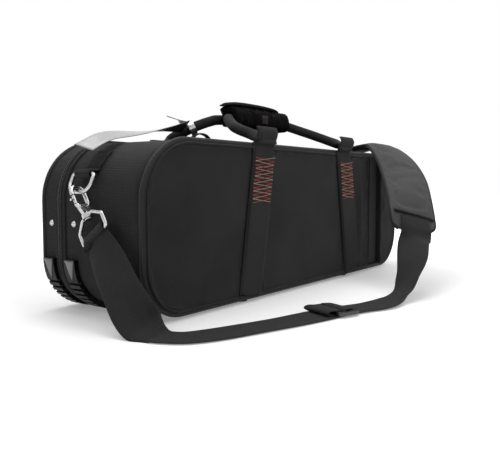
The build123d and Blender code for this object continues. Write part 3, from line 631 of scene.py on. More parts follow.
def inflate(piece, pinned, pressure, frames, cap, extra):
    # swells a skin with Cloth between its pinned points, and caps how far a point may move
    piece.vertex_groups.new(name="pinned").add(pinned, 1.0, "REPLACE")
    settings = piece.modifiers.new("cloth", "CLOTH").settings
    for key, value in clothSetup.items():
        setattr(settings, key, value)
    settings.uniform_pressure_force = pressure
    settings.effector_weights.gravity = 0
    settings.shrink_min = -extra
    settings.vertex_group_mass = "pinned"
    before = [v.co.copy() for v in piece.data.vertices]
    for number in range(1, frames + 1):
        scene.frame_set(number)
    applyModifiers(piece)
    for v, start in zip(piece.data.vertices, before):
        move = v.co - start
        if move.length > cap:
            v.co = start + move * (cap / move.length)
    piece.vertex_groups.clear()
    scene.frame_set(1)


strapLine = dict(
    topX=0.112, footX=0.144, topZ=0.2077, lowZ=0.0105, half=0.0230, gap=0.0008, y=caseSize["pocketFace"] - 0.0016,
    head=((0.0225, 0.0038), (0.0165, 0.0068), (0.0090, 0.0050)))


def strapMiddle(share):
    return strapLine["topX"] + (strapLine["footX"] - strapLine["topX"]) * share


def strapShare(z):
    return (strapLine["topZ"] - z) / (strapLine["topZ"] - strapLine["lowZ"])


def strapLift(share):
    return -0.0006 - 0.0018 * sin(pi * share) ** 0.7


def strapEdge(z, side, edge):
    # x of a front strap's edge at a height; edge -1 is the edge nearer the middle
    return side * (strapMiddle(strapShare(z)) + edge * (strapLine["half"] + strapLine["gap"]))


panelSettings = dict(
    low=0.0110, high=0.2020, side=0.3255, lowRadius=0.0555, highRadius=0.0675, endRadius=0.0610, strapRadius=0.014,
    small=0.002, hem=0.004, rise=0.0024, cell=0.0075, wrinkle=0.0005, hemFade=0.0016, crownFade=0.045, pressure=-2.2,
    frames=12, cap=0.0025)


def paddedPanel(name, corners, crown, seed, creases=()):
    s = panelSettings
    width = max(c[0] for c in corners) - min(c[0] for c in corners)
    height = s["high"] - s["low"]
    across = edgeShares(max(6, int(width / s["cell"])), s["hem"] / width)
    up = edgeShares(int(height / s["cell"]), s["hem"] / height)
    flat, border = patchPoints(corners, across, up)
    rows = []
    for row in flat:
        made = []
        for p in row:
            edge = min((p - q).length for q in border)
            rise = s["rise"] * (1 - exp(-edge / s["hemFade"])) + crown * (1 - exp(-edge / s["crownFade"]))
            rise += s["wrinkle"] * noiseAt((p.x, 0, p.y), 22.0, seed) * min(1, edge / 0.02)
            for x, z, lean, size, depth in creases:
                away = (p.x - x) + lean * (p.y - z)
                rise += depth * exp(-(away / size) ** 2) * exp(-((p.y - z) / 0.05) ** 2) * min(1, edge / 0.01)
            made.append(Vector((p.x, caseSize["pocketFace"] + 0.0001 - rise, p.y)))
        rows.append(made)
    panel = addPiece(name, rowMesh(name, rows, flatUv(rows)), "panelCloth", "case")
    count = len(across)
    pinned = [i * count + j for i in range(len(rows)) for j in range(count)
              if i < 2 or j < 2 or i > len(rows) - 3 or j > count - 3]
    inflate(panel, pinned, s["pressure"], s["frames"], s["cap"], 0.01)
    return panel


def panelCorners(*corners):
    # each corner is its x and its radius, from the lower left corner round
    heights = [panelSettings[key] for key in ("low", "low", "high", "high")]
    return [(x, z, radius) for (x, radius), z in zip(corners, heights)]


def strapCorners(side, edge):
    s = panelSettings
    return (strapEdge(s["low"], side, edge), s["small"]), (strapEdge(s["high"], side, edge), s["strapRadius"])


def allPanels():
    s = panelSettings
    left, right = (-s["side"], s["lowRadius"]), (s["side"], s["lowRadius"])
    leftFoot, leftHead = strapCorners(-1, 1)
    paddedPanel("leftPanel", panelCorners(left, leftFoot, leftHead, (-s["side"], s["highRadius"])), 0.0040, 1.0)
    (foot, head), (otherFoot, otherHead) = strapCorners(-1, -1), strapCorners(1, -1)
    middle = paddedPanel("middlePanel", panelCorners(foot, otherFoot, otherHead, head), 0.0030, 2.0)
    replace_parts(middle, "front_panels")
    foot, head = strapCorners(1, 1)
    mouth, near = (caseSize["mouth"] - 0.001, s["small"]), (caseSize["endPanel"], s["small"])
    paddedPanel("rightPanel", panelCorners(foot, mouth, mouth, head), 0.0022, 3.0,
                [(0.176, 0.12, 0.10, 0.007, 0.0022), (0.192, 0.07, -0.12, 0.006, -0.0018)])
    paddedPanel("endPanel", panelCorners(near, right, (s["side"], s["endRadius"]), near), 0.0022, 4.0)


allPanels()
# the stiff step that the end panel's padding is sewn on
blockProfile = [(face, -0.001, k) for k in (0.02, 0.5, 0.97)] + [(face, -0.0008), (face + 0.0008, 0), (wall, 0)]
endBlock = platePiece("endBlock", caseSize["endPanel"], caseSize["half"], blockProfile, False)
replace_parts(endBlock, "end_panel")
print("pocket and panels made")


# ---- webbing, stitching
def bandFrames(stations, s):
    # distances along a band, and at each its place, the directions across and up, and half its width
    places, sides = (between([station[k] for station in stations], s["steps"]) for k in (0, 1))
    widths = between([(station[2] if len(station) > 2 else s["width"], 0, 0) for station in stations], s["steps"])
    sides = [square(side, way) for side, way in zip(sides, runs(places))]
    ups = [side.cross(way) for side, way in zip(sides, runs(places))]
    return lengths(places), [(*frame, width.x / 2) for *frame, width in zip(places, sides, ups, widths)]


def ribbonMesh(name, stations, s):
    # a soft-edged band through stations of place, direction across and sometimes an own width, kept above the floor
    marks, frames = bandFrames(stations, s)
    rows, bands = [], []
    for i, (place, side, up, half) in enumerate(frames):
        row, band = [], []
        for sign, t in roundTrip(s["columns"]):
            edge = 1 - abs(t) ** 8
            ripple = s["wave"] * noiseAt((t * 0.5, marks[i] * 14, 0), 1.0, s["seed"]) * (0.4 + 0.6 * abs(t))
            offset = s.get("crown", 0.0) * (1 - t * t) + ripple
            across = half * t * (1 - 0.004 * (1 - edge))
            row.append(place + side * across + up * (offset + sign * s["thickness"] / 2 * (0.25 + 0.75 * edge)))
            band.append(half * t)
        sunk = max(0.0, 0.0002 - min(p.z for p in row))
        rows.append([p + Vector((0, 0, sunk)) for p in row])
        bands.append(band + band[:1])
    mesh = rowMesh(name, rows, lambda i, j: (bands[i][j], marks[i]), closed=True, capStart=True, capEnd=True)
    turnOutwards(mesh)
    return mesh, marks[-1]


def webbingPiece(name, stations, s, body, material="webbing"):
    mesh, length = ribbonMesh(name, stations, s)
    piece = addPiece(name, mesh, material, body)
    return piece


def addPrism(points, faces, rings):
    # a six-sided prism through its rings
    base, last = len(points), 6 * (len(rings) - 1)
    points += [p for ring in rings for p in ring]
    for start in range(base, base + last, 6):
        for k in range(6):
            n = (k + 1) % 6
            faces.append((start + k, start + n, start + 6 + n, start + 6 + k))
    faces.append(tuple(range(base, base + 6))[::-1])
    faces.append(tuple(range(base + last, base + last + 6)))


threadSizes = dict(
    cross=(0.0046, 0.0004, 0.00055), handle=(0.0035, 0.0012, 0.00035), flap=(0.0028, 0.0010, 0.0003),
    patch=(0.0022, 0.0007, 0.0003), pad=(0.003, 0.001, 0.0003), zip=(0.0034, 0.0012, 0.00028),
    shell=(0.0036, 0.0012, 0.0003), strap=(0.0034, 0.0011, 0.00028))


def stitches(name, lines, size, body, material="blackThread"):
    # short threads laid end to end along each line of points: their length, the gap between them and their radius
    stitch, gap, radius = threadSizes[size]
    points, faces = [], []
    for line in lines:
        marks = lengths(line)
        place = 0.0
        while place + stitch < marks[-1]:
            a, b = evenly(line, (place / marks[-1], (place + stitch) / marks[-1]))
            way = (b - a).normalized()
            side = way.orthogonal().normalized()
            up = way.cross(side)
            addPrism(points, faces, [
                [a.lerp(b, share) + (side * cos(k * pi / 3) + up * sin(k * pi / 3)) * radius * swell for k in range(6)]
                for share, swell in ((0, 0.35), (0.2, 1), (0.8, 1), (1, 0.35))])
            place += stitch + gap
    mesh = meshOf(name, points, faces)
    turnOutwards(mesh)
    addPiece(name, mesh, material, body)


frontStrapShape = dict(width=2 * strapLine["half"], thickness=0.0026, steps=4, wave=0.0006, columns=15)
rearLine = dict(x=0.104, top=0.2071, low=0.030, y=0.0904, bow=0.0008)
rearStrapShape = dict(width=0.046, thickness=0.0026, steps=4, wave=0.0004, columns=15)


def frontStrap(side, name):
    # the strap climbs over the piping to the handle's end, then runs down the pocket
    s = strapLine
    x = side * (s["topX"] + 0.0010)
    stations = [((x, s["y"] - out, s["topZ"] + rise), (side, 0, 0)) for rise, out in s["head"]]
    for i in range(15):
        share = i / 14
        z = s["topZ"] - 0.0006 + (s["lowZ"] - s["topZ"]) * share
        stations.append(((side * strapMiddle(share), s["y"] + strapLift(share), z), (side, 0, 0)))
    return webbingPiece(name, stations, {**frontStrapShape, "seed": side}, "case",
                        "frontWebbing")


def rearStrap(side, name):
    s = rearLine
    stations = [((side * s["x"], s["y"] + s["bow"] * sin(pi * i / 12), s["top"] + (s["low"] - s["top"]) * i / 12),
                 (-side, 0, 0)) for i in range(13)]
    return webbingPiece(name, stations, {**rearStrapShape, "seed": 5 + side}, "lid")


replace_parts(frontStrap(-1, "leftFrontStrap"), "front_straps")
frontStrap(1, "rightFrontStrap")
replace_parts(rearStrap(-1, "leftRearStrap"), "rear_straps")
rearStrap(1, "rightRearStrap")


def crossStitch():
    # zigzags that run down the head of each front strap and cross each other, in two threads
    s = {"high": 0.1905, "low": 0.1315, "turns": 6, "y": strapLine["y"] - 0.0040, "inset": 0.0018}
    step = (s["high"] - s["low"]) / (2 * s["turns"])
    for colour, first, drop in (("red", 1, 0.0006), ("cream", 0, 0.0)):
        lines = []
        for side in (-1, 1):
            line = []
            for k in range(2 * s["turns"] + 1):
                z = s["high"] - k * step - drop + 0.0006 * noiseAt((side, k, drop), 2.7)
                inner, outer = strapEdge(z, side, -1), strapEdge(z, side, 1)
                swing = (abs(outer - inner) / 2 - s["inset"]) * (1 if (k + first) % 2 == 0 else -1)
                line.append(Vector(((inner + outer) / 2 + swing + 0.0012 * noiseAt((k, side, drop), 3.1), s["y"], z)))
            lines.append(line)
        stitches(colour + "Stitching", lines, "cross", "case", colour + "Thread")


crossStitch()
print("front straps and stitching made")


# ---- carrying handles
handleSettings = {
    "radius": 0.0072, "flat": (0.0222, 0.0016), "foldLength": 0.034, "sides": 30,
    "front": {"pivot": (0.112, -0.0905, 0.2097), "turnOut": -0.0035, "sway": 0.0, "node": "front_handle", "bends": [
        (0.116, -0.083, 0.2175), (0.117, -0.066, 0.2235), (0.117, -0.046, 0.2307), (0.108, -0.0314, 0.2366),
        (0.095, -0.0173, 0.2427), (0.084, -0.0055, 0.2482), (0.074, 0.003, 0.2516)]},
    "rear": {"pivot": (0.104, 0.092, 0.2097), "turnOut": 0.001, "sway": -0.012, "node": "rear_handle", "bends": [
        (0.105, 0.082, 0.220), (0.1045, 0.066, 0.2268), (0.0974, 0.052, 0.2336), (0.087, 0.041, 0.2406),
        (0.074, 0.031, 0.2468), (0.060, 0.0215, 0.2516)]},
}


def handlePath(s):
    ways = []
    for side in (-1, 1):
        foot = Vector((side * s["pivot"][0], *s["pivot"][1:]))
        ways.append([foot + Vector((0, s["turnOut"], -0.0010)), foot + Vector((0, s["turnOut"] * 0.8, 0.0055))]
                    + [Vector((side * x + s["sway"], y, z)) for x, y, z in s["bends"]])
    return softBend(ways[0] + ways[1][::-1], 7)


def signed(value, power):
    return abs(value) ** power * (1 if value > 0 else -1)


def carryHandle(name, s):
    # a webbing tube that opens out flat over each strap's end
    path = handlePath(s)
    marks, ways = lengths(path), runs(path)
    (flatX, flatY), radius, count = handleSettings["flat"], handleSettings["radius"], handleSettings["sides"]
    wide, last, sides = Vector((1, 0, 0)), ways[0], []
    for way in ways:
        wide = square(last.rotation_difference(way) @ wide, way)
        last = way
        sides.append(wide)
    # the twist gathered at the far end is taken out over the middle
    level = Vector((1 if wide.x > 0 else -1, 0, 0))
    twist = wide.angle(level) * (1 if wide.cross(level).dot(last) > 0 else -1)
    rows = []
    for p, way, wide, mark in zip(path, ways, sides, marks):
        middle = max(0.0, min(1.0, (mark - 0.35 * marks[-1]) / (0.3 * marks[-1])))
        wide = Matrix.Rotation(twist * middle, 3, way) @ wide
        up = wide.cross(way)
        t = min(1.0, min(mark, marks[-1] - mark) / handleSettings["foldLength"])
        t = t * t * (3 - 2 * t)
        a = flatX + (radius - flatX) * t
        b = flatY + (radius * 1.02 - flatY) * min(1.0, t * 1.15)
        row = []
        for k in range(count):
            turn = 2 * pi * k / count
            ripple = 1 + 0.028 * noiseAt((p.x * 2, p.y * 2, k * 0.004), 60.0, s["sway"] * 100)
            ripple += 0.012 * sin(3 * turn + mark * 90)
            row.append(p + wide * (a * signed(cos(turn), 0.55 + 0.45 * t) * ripple)
                       + up * (b * signed(sin(turn), 0.8 + 0.2 * t) * ripple))
        rows.append(row)
    handle = skin(name, rows, lambda i, j: (j / count * 0.045, marks[i]), "handleCloth", s["node"])
    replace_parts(handle, s["node"])
    # the sewn edge along the tube
    seam = [rows[i][4] + (rows[i][4] - path[i]).normalized() * 0.0002 for i in range(4, len(rows) - 4)]
    stitches(name + "Seam", [seam], "handle", s["node"])


carryHandle("frontHandle", handleSettings["front"])
carryHandle("rearHandle", handleSettings["rear"])
print("handles made")


# ---- padded grip and its flap
def softCopy(name, node, voxel, smooth, material, body):
    # a rounded cloth body in the space of a CAD solid
    mesh = nodes[node].data.copy()
    mesh.name = name
    mesh.materials.clear()
    piece = bpy.data.objects.new(name, mesh)
    scene.collection.objects.link(piece)
    remesh = piece.modifiers.new("remesh", "REMESH")
    remesh.mode, remesh.voxel_size = "VOXEL", voxel
    softer = piece.modifiers.new("smooth", "SMOOTH")
    softer.iterations, softer.factor = smooth, 0.5
    applyModifiers(piece)
    piece.data.materials.clear()
    piece.data.materials.append(materials[material])
    piece.data.shade_smooth()
    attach(piece, body)
    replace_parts(piece, node)
    return piece


def subdivide(piece):
    modifier = piece.modifiers.new("subdivision", "SUBSURF")
    modifier.levels = modifier.render_levels = 1


gripSettings = dict(
    voxel=0.0032, pressure=4.0, frames=14, cap=0.0022, left=-0.076, right=0.070, y=0.0045, z=0.2545, core=0.011,
    cuffs=(-0.060, 0.052), low=0.2400, mouth=(0.0145, 0.2635), hold=0.002, gathers=(0.0016, 310), crumple=0.0018,
    cuffDip=(0.0012, 0.0022))


def gripWrap():
    # gathers run round the wrap where it is drawn together, and its two cuffs stand a little proud
    s = gripSettings
    (depth, pace), (dip, size) = s["gathers"], s["cuffDip"]
    wrap = softCopy("gripWrap", "grip_wrap", s["voxel"], 3, "gripCloth", "front_handle")
    for v in wrap.data.vertices:
        p = v.co
        away = Vector((0, p.y - s["y"], p.z - s["z"]))
        if away.length < s["core"]:
            continue
        gather = depth * sin(p.x * pace + 2.4 * noiseAt(p, 40, 1)) * noiseAt(p, 30, 6.0)
        gather += s["crumple"] * noiseAt((p.x * 3, p.y, p.z), 45.0, 2.0)
        for x in s["cuffs"]:
            gather -= dip * exp(-((p.x - x) / size) ** 2)
        v.co = p + away.normalized() * gather
    pinned = [v.index for v in wrap.data.vertices
              if v.co.z < s["low"] or v.co.x < s["left"] + s["hold"] or v.co.x > s["right"] - s["hold"]
              or (v.co.y > s["mouth"][0] and v.co.z < s["mouth"][1])]
    inflate(wrap, pinned, s["pressure"], s["frames"], s["cap"], 0.02)
    subdivide(wrap)


gripWrap()
flapSettings = dict(
    middleX=-0.014, y=0.0068, length=0.134, width=0.0285, low=0.2708, thickness=0.0066, sides=72, droop=0.0026, hem=7,
    layers=((0.02, 0.05), (0.6, 0.04), (0.93, 0.02), (1.0, 0.10), (1.0, 0.30), (0.97, 0.42), (0.90, 0.50),
            (0.86, 0.56), (0.80, 0.74), (0.66, 0.90), (0.45, 0.98), (0.2, 1.0), (0.02, 1.0)))


def gripFlap():
    # a crowned lobe with a flat sewn hem, its ends drooping over the wrap
    s = flapSettings
    straight = s["length"] / 2 - s["width"] / 2
    rows = []
    for scale, height in s["layers"]:
        row = []
        for k in range(s["sides"]):
            turn = 2 * pi * k / s["sides"]
            c, half = cos(turn), s["width"] / 2 * scale
            x = (1 if c > 0 else -1) * straight * min(1, abs(c) / 0.16) * scale ** 0.25 + half * c
            y = half * sin(turn)
            droop = s["droop"] * (abs(x) / (s["length"] / 2)) ** 3 * (height > 0.06)
            ripple = 0.0006 * noiseAt((x, y, height * 0.02), 55.0, 9.0) * height
            row.append(Vector((s["middleX"] + x, s["y"] + y, s["low"] + height * s["thickness"] + ripple - droop)))
        rows.append(row)
    flap = skin("gripFlap", rows, flatUv(rows, 0, 1), "gripCloth", "grip_flap")
    hem = [p + Vector((0, 0, 0.0003)) for p in rows[s["hem"]]]
    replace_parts(flap, "grip_flap")
    subdivide(flap)
    stitches("flapStitching", [hem + hem[:1]], "flap", "grip_flap")


def gripPatch():
    # the small bare sewn patch on the wrap's front, and its cross threads
    s = {"x": -0.0125, "width": 0.0165, "y": -0.0142, "z": 0.2475, "height": 0.0125, "bulge": 0.0009,
         "thread": (-0.011, 0.0025, -0.0154), "rows": (0.2582, 0.2566)}
    rows = [[Vector((s["x"] + s["width"] * j / 6, s["y"] - s["bulge"] * (1 - (j / 3 - 1) ** 4) * (1 - (i / 3 - 1) ** 4),
                     s["z"] + s["height"] * i / 6)) for j in range(7)] for i in range(7)]
    addPiece("gripPatch", rowMesh("gripPatch", rows, flatUv(rows)), "binding", "front_handle")
    start, end, y = s["thread"]
    stitches("gripPatchThread", [[Vector((start, y, z)), Vector((end, y, z))] for z in s["rows"]], "patch",
             "front_handle", "redThread")


gripFlap()
gripPatch()
print("grip made")


# ---- shoulder strap
strapSettings = dict(
    width=0.046, thickness=0.0024, steps=5, wave=0.0011, columns=15, slant=31.0, twist=-8.0,
    ring=(0.342733, 0.005, 0.146262), hookTop=-0.0065, hookLength=0.027, neck=0.0106, frame=0.0255, reach=0.00345)


def mmStations(route):
    return [(tuple(v * 0.001 for v in place), side, *[w * 0.001 for w in width]) for place, side, *width in route]


frontRoute = mmStations([
    ((-351, -56, 69.5), (0.24, -0.82, 0.52)), ((-357, -80, 46), (0.34, -0.77, 0.53)),
    ((-358, -98, 26.5), (0.58, -0.68, 0.42)), ((-353, -111, 11), (0.92, -0.28, 0.25)),
    ((-346, -120, 2.2), (0.99, 0.08, 0.03)), ((-342, -132, 1.2), (0.86, 0.51, 0)), ((-331, -149, 1.2), (0.78, 0.62, 0)),
    ((-306, -162, 1.2), (0.45, 0.89, 0)), ((-272, -173, 1.2), (0.34, 0.94, 0)), ((-228, -187, 1.2), (0.32, 0.95, 0)),
    ((-180, -200, 1.2), (0.32, 0.95, 0)), ((-136, -209.5, 1.2), (0.34, 0.94, 0)), ((-100, -222, 1.2), (0.38, 0.92, 0)),
    ((-66, -236, 2.6), (0.60, 0.80, 0)), ((-30, -236, 4.6), (0.76, 0.64, -0.06)),
    ((-10, -239, 9.5), (0.75, 0.66, -0.07)), ((5, -240.5, 17), (0.68, 0.73, -0.09)),
    ((21, -239, 29), (0.54, 0.84, -0.06)), ((42, -236, 45), (0.33, 0.94, -0.04)),
    ((78, -223, 66), (0.05, 0.99, 0.06)), ((95.5, -220.0, 77.0), (-0.43, 0.85, 0.28)),
    ((101.5, -218.0, 88.0), (-0.51, 0.81, 0.30)), ((107.0, -214.6, 97.0), (-0.56, 0.78, 0.28)),
    ((113.5, -210.2, 105.5), (-0.60, 0.75, 0.27))])
padRoute = mmStations([
    ((103, -214, 85), (-0.51, 0.81, 0.30), 48.0), ((108, -211, 92), (-0.55, 0.79, 0.29), 66.0),
    ((119.5, -204, 107), (-0.62, 0.74, 0.26), 72.0), ((149.5, -185.5, 139), (-0.69, 0.71, 0.14), 72.0),
    ((188, -160, 170), (-0.71, 0.70, 0.08), 72.0), ((226, -126, 201), (-0.86, 0.51, 0.05), 72.0),
    ((253.5, -90.5, 221), (-0.97, 0.20, 0.02), 72.0), ((264, -51, 221), (-1, 0, 0), 72.0),
    ((264, -14, 212.5), (-1, 0, 0), 72.0)])
# from the right frame up to the pad
backRoute = mmStations([
    ((346, 5, 60), (0, 1, 0)), ((356, 5, 54), (0, 1, 0)), ((365.5, 5, 67), (0, 1, 0)), ((368.5, 6, 95), (0, 1, 0)),
    ((363.5, 10, 130.5), (0, 1, 0)), ((348, 18.5, 167), (0, 1, 0)), ((322, 30, 193.5), (-0.09, 0.99, 0)),
    ((298, 36, 209.8), (-0.40, 0.92, 0)), ((277, 27, 212.8), (-0.81, 0.59, 0)), ((266.5, 8, 209.5), (-0.98, 0.20, 0)),
    ((264.1, -13.2, 212.4), (-1, 0, 0))])


def strapLoop(side):
    # stations round the frame's bar: up behind it, over it and down in front; the bell end's hook hangs aslant
    s = strapSettings
    slant, twist = (radians(s["slant"]), radians(s["twist"])) if side < 0 else (0.0, 0.0)
    down = Vector((0, -sin(slant), -cos(slant)))
    across = Vector((0, -cos(slant), sin(slant))) * cos(twist) + Vector((1, 0, 0)) * sin(twist)
    if side > 0:
        across = Vector((0, 1, 0))
    ringX, ringY, ringZ = s["ring"]
    bar = Vector((side * ringX, ringY, ringZ)) + down * (s["hookTop"] + s["hookLength"] + s["neck"] + s["frame"])
    out = down.cross(across).normalized()
    stations = []
    for angle in range(-168, 73, 24):
        turn = radians(angle)
        rise = s["reach"] * (1 + 1.1 * max(0.0, -sin(turn)))
        stations.append((bar + out * (cos(turn) * s["reach"]) + down * (sin(turn) * rise), across))
    return stations


for side, name, node, route, frameNode in ((-1, "frontStrapLength", "strap_front", frontRoute, "left_frame"),
                                           (1, "backStrapLength", "strap_back", backRoute, "right_frame")):
    strap = webbingPiece(name, strapLoop(side) + route, {**strapSettings, "seed": 7.0 + side}, "case")
    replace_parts(strap, node)

padSettings = dict(
    thickness=0.0094, edge=0.0042, seams=(0.10, 0.88), border=0.75, steps=9, columns=33, pressure=3.0, frames=14,
    cap=0.0022, binding=0.0026, seamShift=0.0022, seamLift=0.0009, edgeLift=0.0006, seamSize=0.0035, endFade=0.004,
    uneven=0.0009)


def shoulderPad():
    # a foam pad between two cloths, thin at its bound edges, with two cross seams
    s = padSettings
    marks, frames = bandFrames(padRoute, s)
    rows, bands, borders = [], [], ([], [])
    for i, (place, side, up, half) in enumerate(frames):
        seam = sum(exp(-((marks[i] - q * marks[-1]) / s["seamSize"]) ** 2) for q in s["seams"])
        ends = 1 - exp(-min(marks[i], marks[-1] - marks[i]) / s["endFade"])
        row, band = [], []
        for sign, t in roundTrip(s["columns"]):
            full = s["edge"] + (s["thickness"] - s["edge"]) * (1 - abs(t) ** 6) * (1 - 0.55 * min(1, seam))
            full *= (0.45 + 0.55 * ends) * (1 - 0.30 * exp(-((abs(t) - s["border"]) / 0.05) ** 2))
            at = place + side * (half * t)
            dent = s["uneven"] * noiseAt(at, 38.0, 12.0 + sign)
            row.append(at + up * (sign * full / 2 + dent * (1 - abs(t) ** 4)))
            band.append(half * t)
        rows.append(row)
        bands.append(band + band[:1])
        borders[0].append(place - side * half)
        borders[1].append(place + side * half)
    pad = skin("shoulderPad", rows, lambda i, j: (bands[i][j], marks[i]), "padCloth", "case")
    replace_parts(pad, "shoulder_pad")
    count, columns = len(rows[0]), s["columns"]
    groove = round((1 - s["border"]) / 2 * (columns - 1))
    held = {0, 1, columns - 2, columns - 1, columns, columns + 1, count - 2, count - 1}
    held |= {k + n for k in (groove, columns - 1 - groove) for n in (0, columns)}
    seamRows = {i for i in range(len(rows)) for q in s["seams"] if abs(marks[i] - q * marks[-1]) < 0.004}
    pinned = [i * count + j for i in range(len(rows)) for j in range(count)
              if j in held or i in seamRows or i < 2 or i > len(rows) - 3]
    inflate(pad, pinned, s["pressure"], s["frames"], s["cap"], 0.02)
    subdivide(pad)
    return rows, marks, borders


def tubeAlong(name, path, radius, sides, material, body="case", closed=False):
    # a round cord along points
    marks, ways = lengths(path), runs(path, closed)
    last = (path[1] - path[0]).normalized()
    side = last.orthogonal().normalized()
    turns = [2 * pi * k / sides for k in range(sides)]
    rows = []
    for p, way in zip(path, ways):
        side = square(last.rotation_difference(way) @ side, way)
        last = way
        up = way.cross(side)
        rows.append([p + (side * cos(turn) + up * sin(turn)) * radius for turn in turns])
    if closed:
        rows.append(rows[0])
    return skin(name, rows, lambda i, j: (j / sides * 2 * pi * radius, marks[min(i, len(marks) - 1)]), material, body,
                not closed, not closed)


# the sewn edge where the webbing runs out from under the pad's face
flapHem = dict(
    middle=(0.1150, -0.2090, 0.1075), out=(-0.58, -0.62, 0.53), side=(-0.60, 0.75, 0.27), half=0.0320, swell=0.0018,
    fall=0.0016, radius=0.0021)


def padTrim(rows, marks, borders):
    # bound edges, the seams' stitches on both faces, and the hem
    s = padSettings
    columns, radius = s["columns"], s["binding"]
    for index, border in enumerate(borders):
        tubeAlong(f"padBinding{index}", border, radius, 10, "binding")
    end = [rows[-1][k].lerp(rows[-1][2 * columns - 1 - k], 0.5) for k in range(0, columns, 4)]
    tubeAlong("padEndBinding", between(end, 3), radius, 10, "binding")
    lines = []
    for q in s["seams"]:
        for shift in (-s["seamShift"], s["seamShift"]):
            row = rows[min(range(len(marks)), key=lambda n: abs(marks[n] - q * marks[-1] - shift))]
            lift = (row[columns // 2] - row[2 * columns - 1 - columns // 2]).normalized() * s["seamLift"]
            lines += [[p + lift for p in row[2:columns - 2]], [p - lift for p in row[2 + columns:2 * columns - 2]]]
    for k in (3, columns - 4):
        lines.append([row[k] + (row[k] - row[2 * columns - 1 - k]).normalized() * s["edgeLift"] for row in rows])
    middle, out, side = (Vector(flapHem[key]) for key in ("middle", "out", "side"))
    side.normalize()
    hem = [middle + side * (flapHem["half"] * k / 6) + out * (flapHem["swell"] - flapHem["fall"] * abs(k / 6) ** 4)
           for k in range(-6, 7)]
    tubeAlong("padFlapHem", hem, flapHem["radius"], 10, "binding")
    stitches("padStitching", lines, "pad", "case")


padTrim(*shoulderPad())
print("shoulder strap and pad made")

# ---- strap adjuster's webbing, tag strip and ring tabs
adjuster = dict(place=(-0.136, -0.2095, 0.0027), turn=-20.0)
foldShape = dict(width=0.0455, thickness=0.0022, steps=4, wave=0.0002, seed=3.0, columns=13)
rollShape = dict(width=0.0450, thickness=0.0022, steps=4, wave=0.0003, seed=4.0, columns=13)
foldLine = [(-9.5, 0.95), (-6.2, 1.1), (-4.3, 2.6), (-3.6, 4.3), (-1.6, 5.75), (1.6, 5.75), (3.6, 4.3), (4.3, 2.6),
            (6.2, 1.1), (9.5, 0.95)]
rollLine = [(-10.5, 5.5), (-15.0, 5.6), (-21.0, 6.3), (-26.0, 6.0), (-29.0, 4.6), (-29.2, 2.9), (-26.5, 1.5),
            (-21.0, 1.1)]


def adjusterPiece(name, line, shape):
    # line runs along the strap and up from it, in millimetres
    place, turn = Vector(adjuster["place"]), radians(adjuster["turn"])
    along, across = Vector((cos(turn), sin(turn), 0)), Vector((-sin(turn), cos(turn), 0))
    stations = [(place + along * (x * 0.001) + Vector((0, 0, z * 0.001)), across) for x, z in line]
    return webbingPiece(name, stations, shape, "case")


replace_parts(adjusterPiece("adjusterFold", foldLine, foldShape), "strap_fold")
adjusterPiece("adjusterRoll", rollLine, rollShape)

stripShape = dict(width=0.025, thickness=0.0018, steps=8, crown=0.0004, wave=0.0012, seed=21.0, columns=15)
tipShape = dict(width=0.012, thickness=0.0014, steps=6, crown=0.0003, wave=0.0004, seed=2.0, columns=9)
stripRoute = mmStations([
    ((-119.7, 46, 238.3), (0, -0.75, 0.66)), ((-160, 42, 232.3), (0, -0.97, 0.24)),
    ((-212.5, 29.5, 224), (0, -0.998, -0.07)), ((-261.5, 17.3, 217.8), (0, -0.95, -0.31)),
    ((-302, 8, 210.4), (0, -0.92, -0.39)), ((-337, 1.7, 196.3), (0, -0.90, -0.44))])
tipRoute = mmStations([
    ((-117.5, 49.5, 243.5), (0, -0.9, 0.30), 15.0), ((-126, 50, 246.8), (0, -0.97, -0.2), 14.0),
    ((-140, 50, 249), (0, -0.93, -0.36), 11.0), ((-153, 49, 250.4), (0, -0.93, -0.36), 4.0)])
strip = webbingPiece("tagStrip", stripRoute, stripShape, "tag", ("strip", "stripBack"))
# the pale face looks up and a little forward
for polygon in strip.data.polygons:
    polygon.material_index = 0 if polygon.normal.dot(Vector((0, -0.35, 0.93))) > 0.2 else 1
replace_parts(strip, "tag_strap")
webbingPiece("tagTip", tipRoute, tipShape, "tag", "strip")

tabSettings = dict(
    width=0.0258, thickness=0.0024, steps=5, wave=0.0003, columns=13, y=0.005, stitchInset=0.0105,
    bar=(-0.3335, 0, 0.167), centre=(-0.258, 0, 0.1345), barReach=0.00365, caseReach=0.0738,
    sewn=(53, 47, 41, 35, 30), round=(112, 145, 180, 225, 270, 310), tail=((25.5, 0.0752), (23.5, 0.0736)))


def ringTab(side, name):
    # the tab is sewn on the case's top corner and goes round the ring's bar
    s = tabSettings
    bar, centre = Vector(s["bar"]), Vector(s["centre"])

    def onCase(angle, reach):
        return centre + Vector((-cos(radians(angle)), 0, sin(radians(angle)))) * reach

    path = [onCase(angle, s["caseReach"]) for angle in s["sewn"]]
    path += [bar + Vector((cos(radians(a)), 0, sin(radians(a)))) * s["barReach"] for a in s["round"]]
    path += [onCase(*station) for station in s["tail"]]
    mirror = Vector((-side, 1, 1))
    stations = [(p * mirror + Vector((0, s["y"], 0)), (0, side, 0)) for p in path]
    tab = webbingPiece(name, stations, {**s, "seed": side + 8.0}, "case")
    raised = [(p + (p - centre).normalized() * 0.0013) * mirror for p in path[:len(s["sewn"])]]
    lines = [[p + Vector((0, s["y"] + inset, 0)) for p in raised] for inset in (-s["stitchInset"], s["stitchInset"])]
    stitches(name + "Stitching", lines, "pad", "case")
    return tab


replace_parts(ringTab(-1, "leftTab"), "ring_tabs")
ringTab(1, "rightTab")

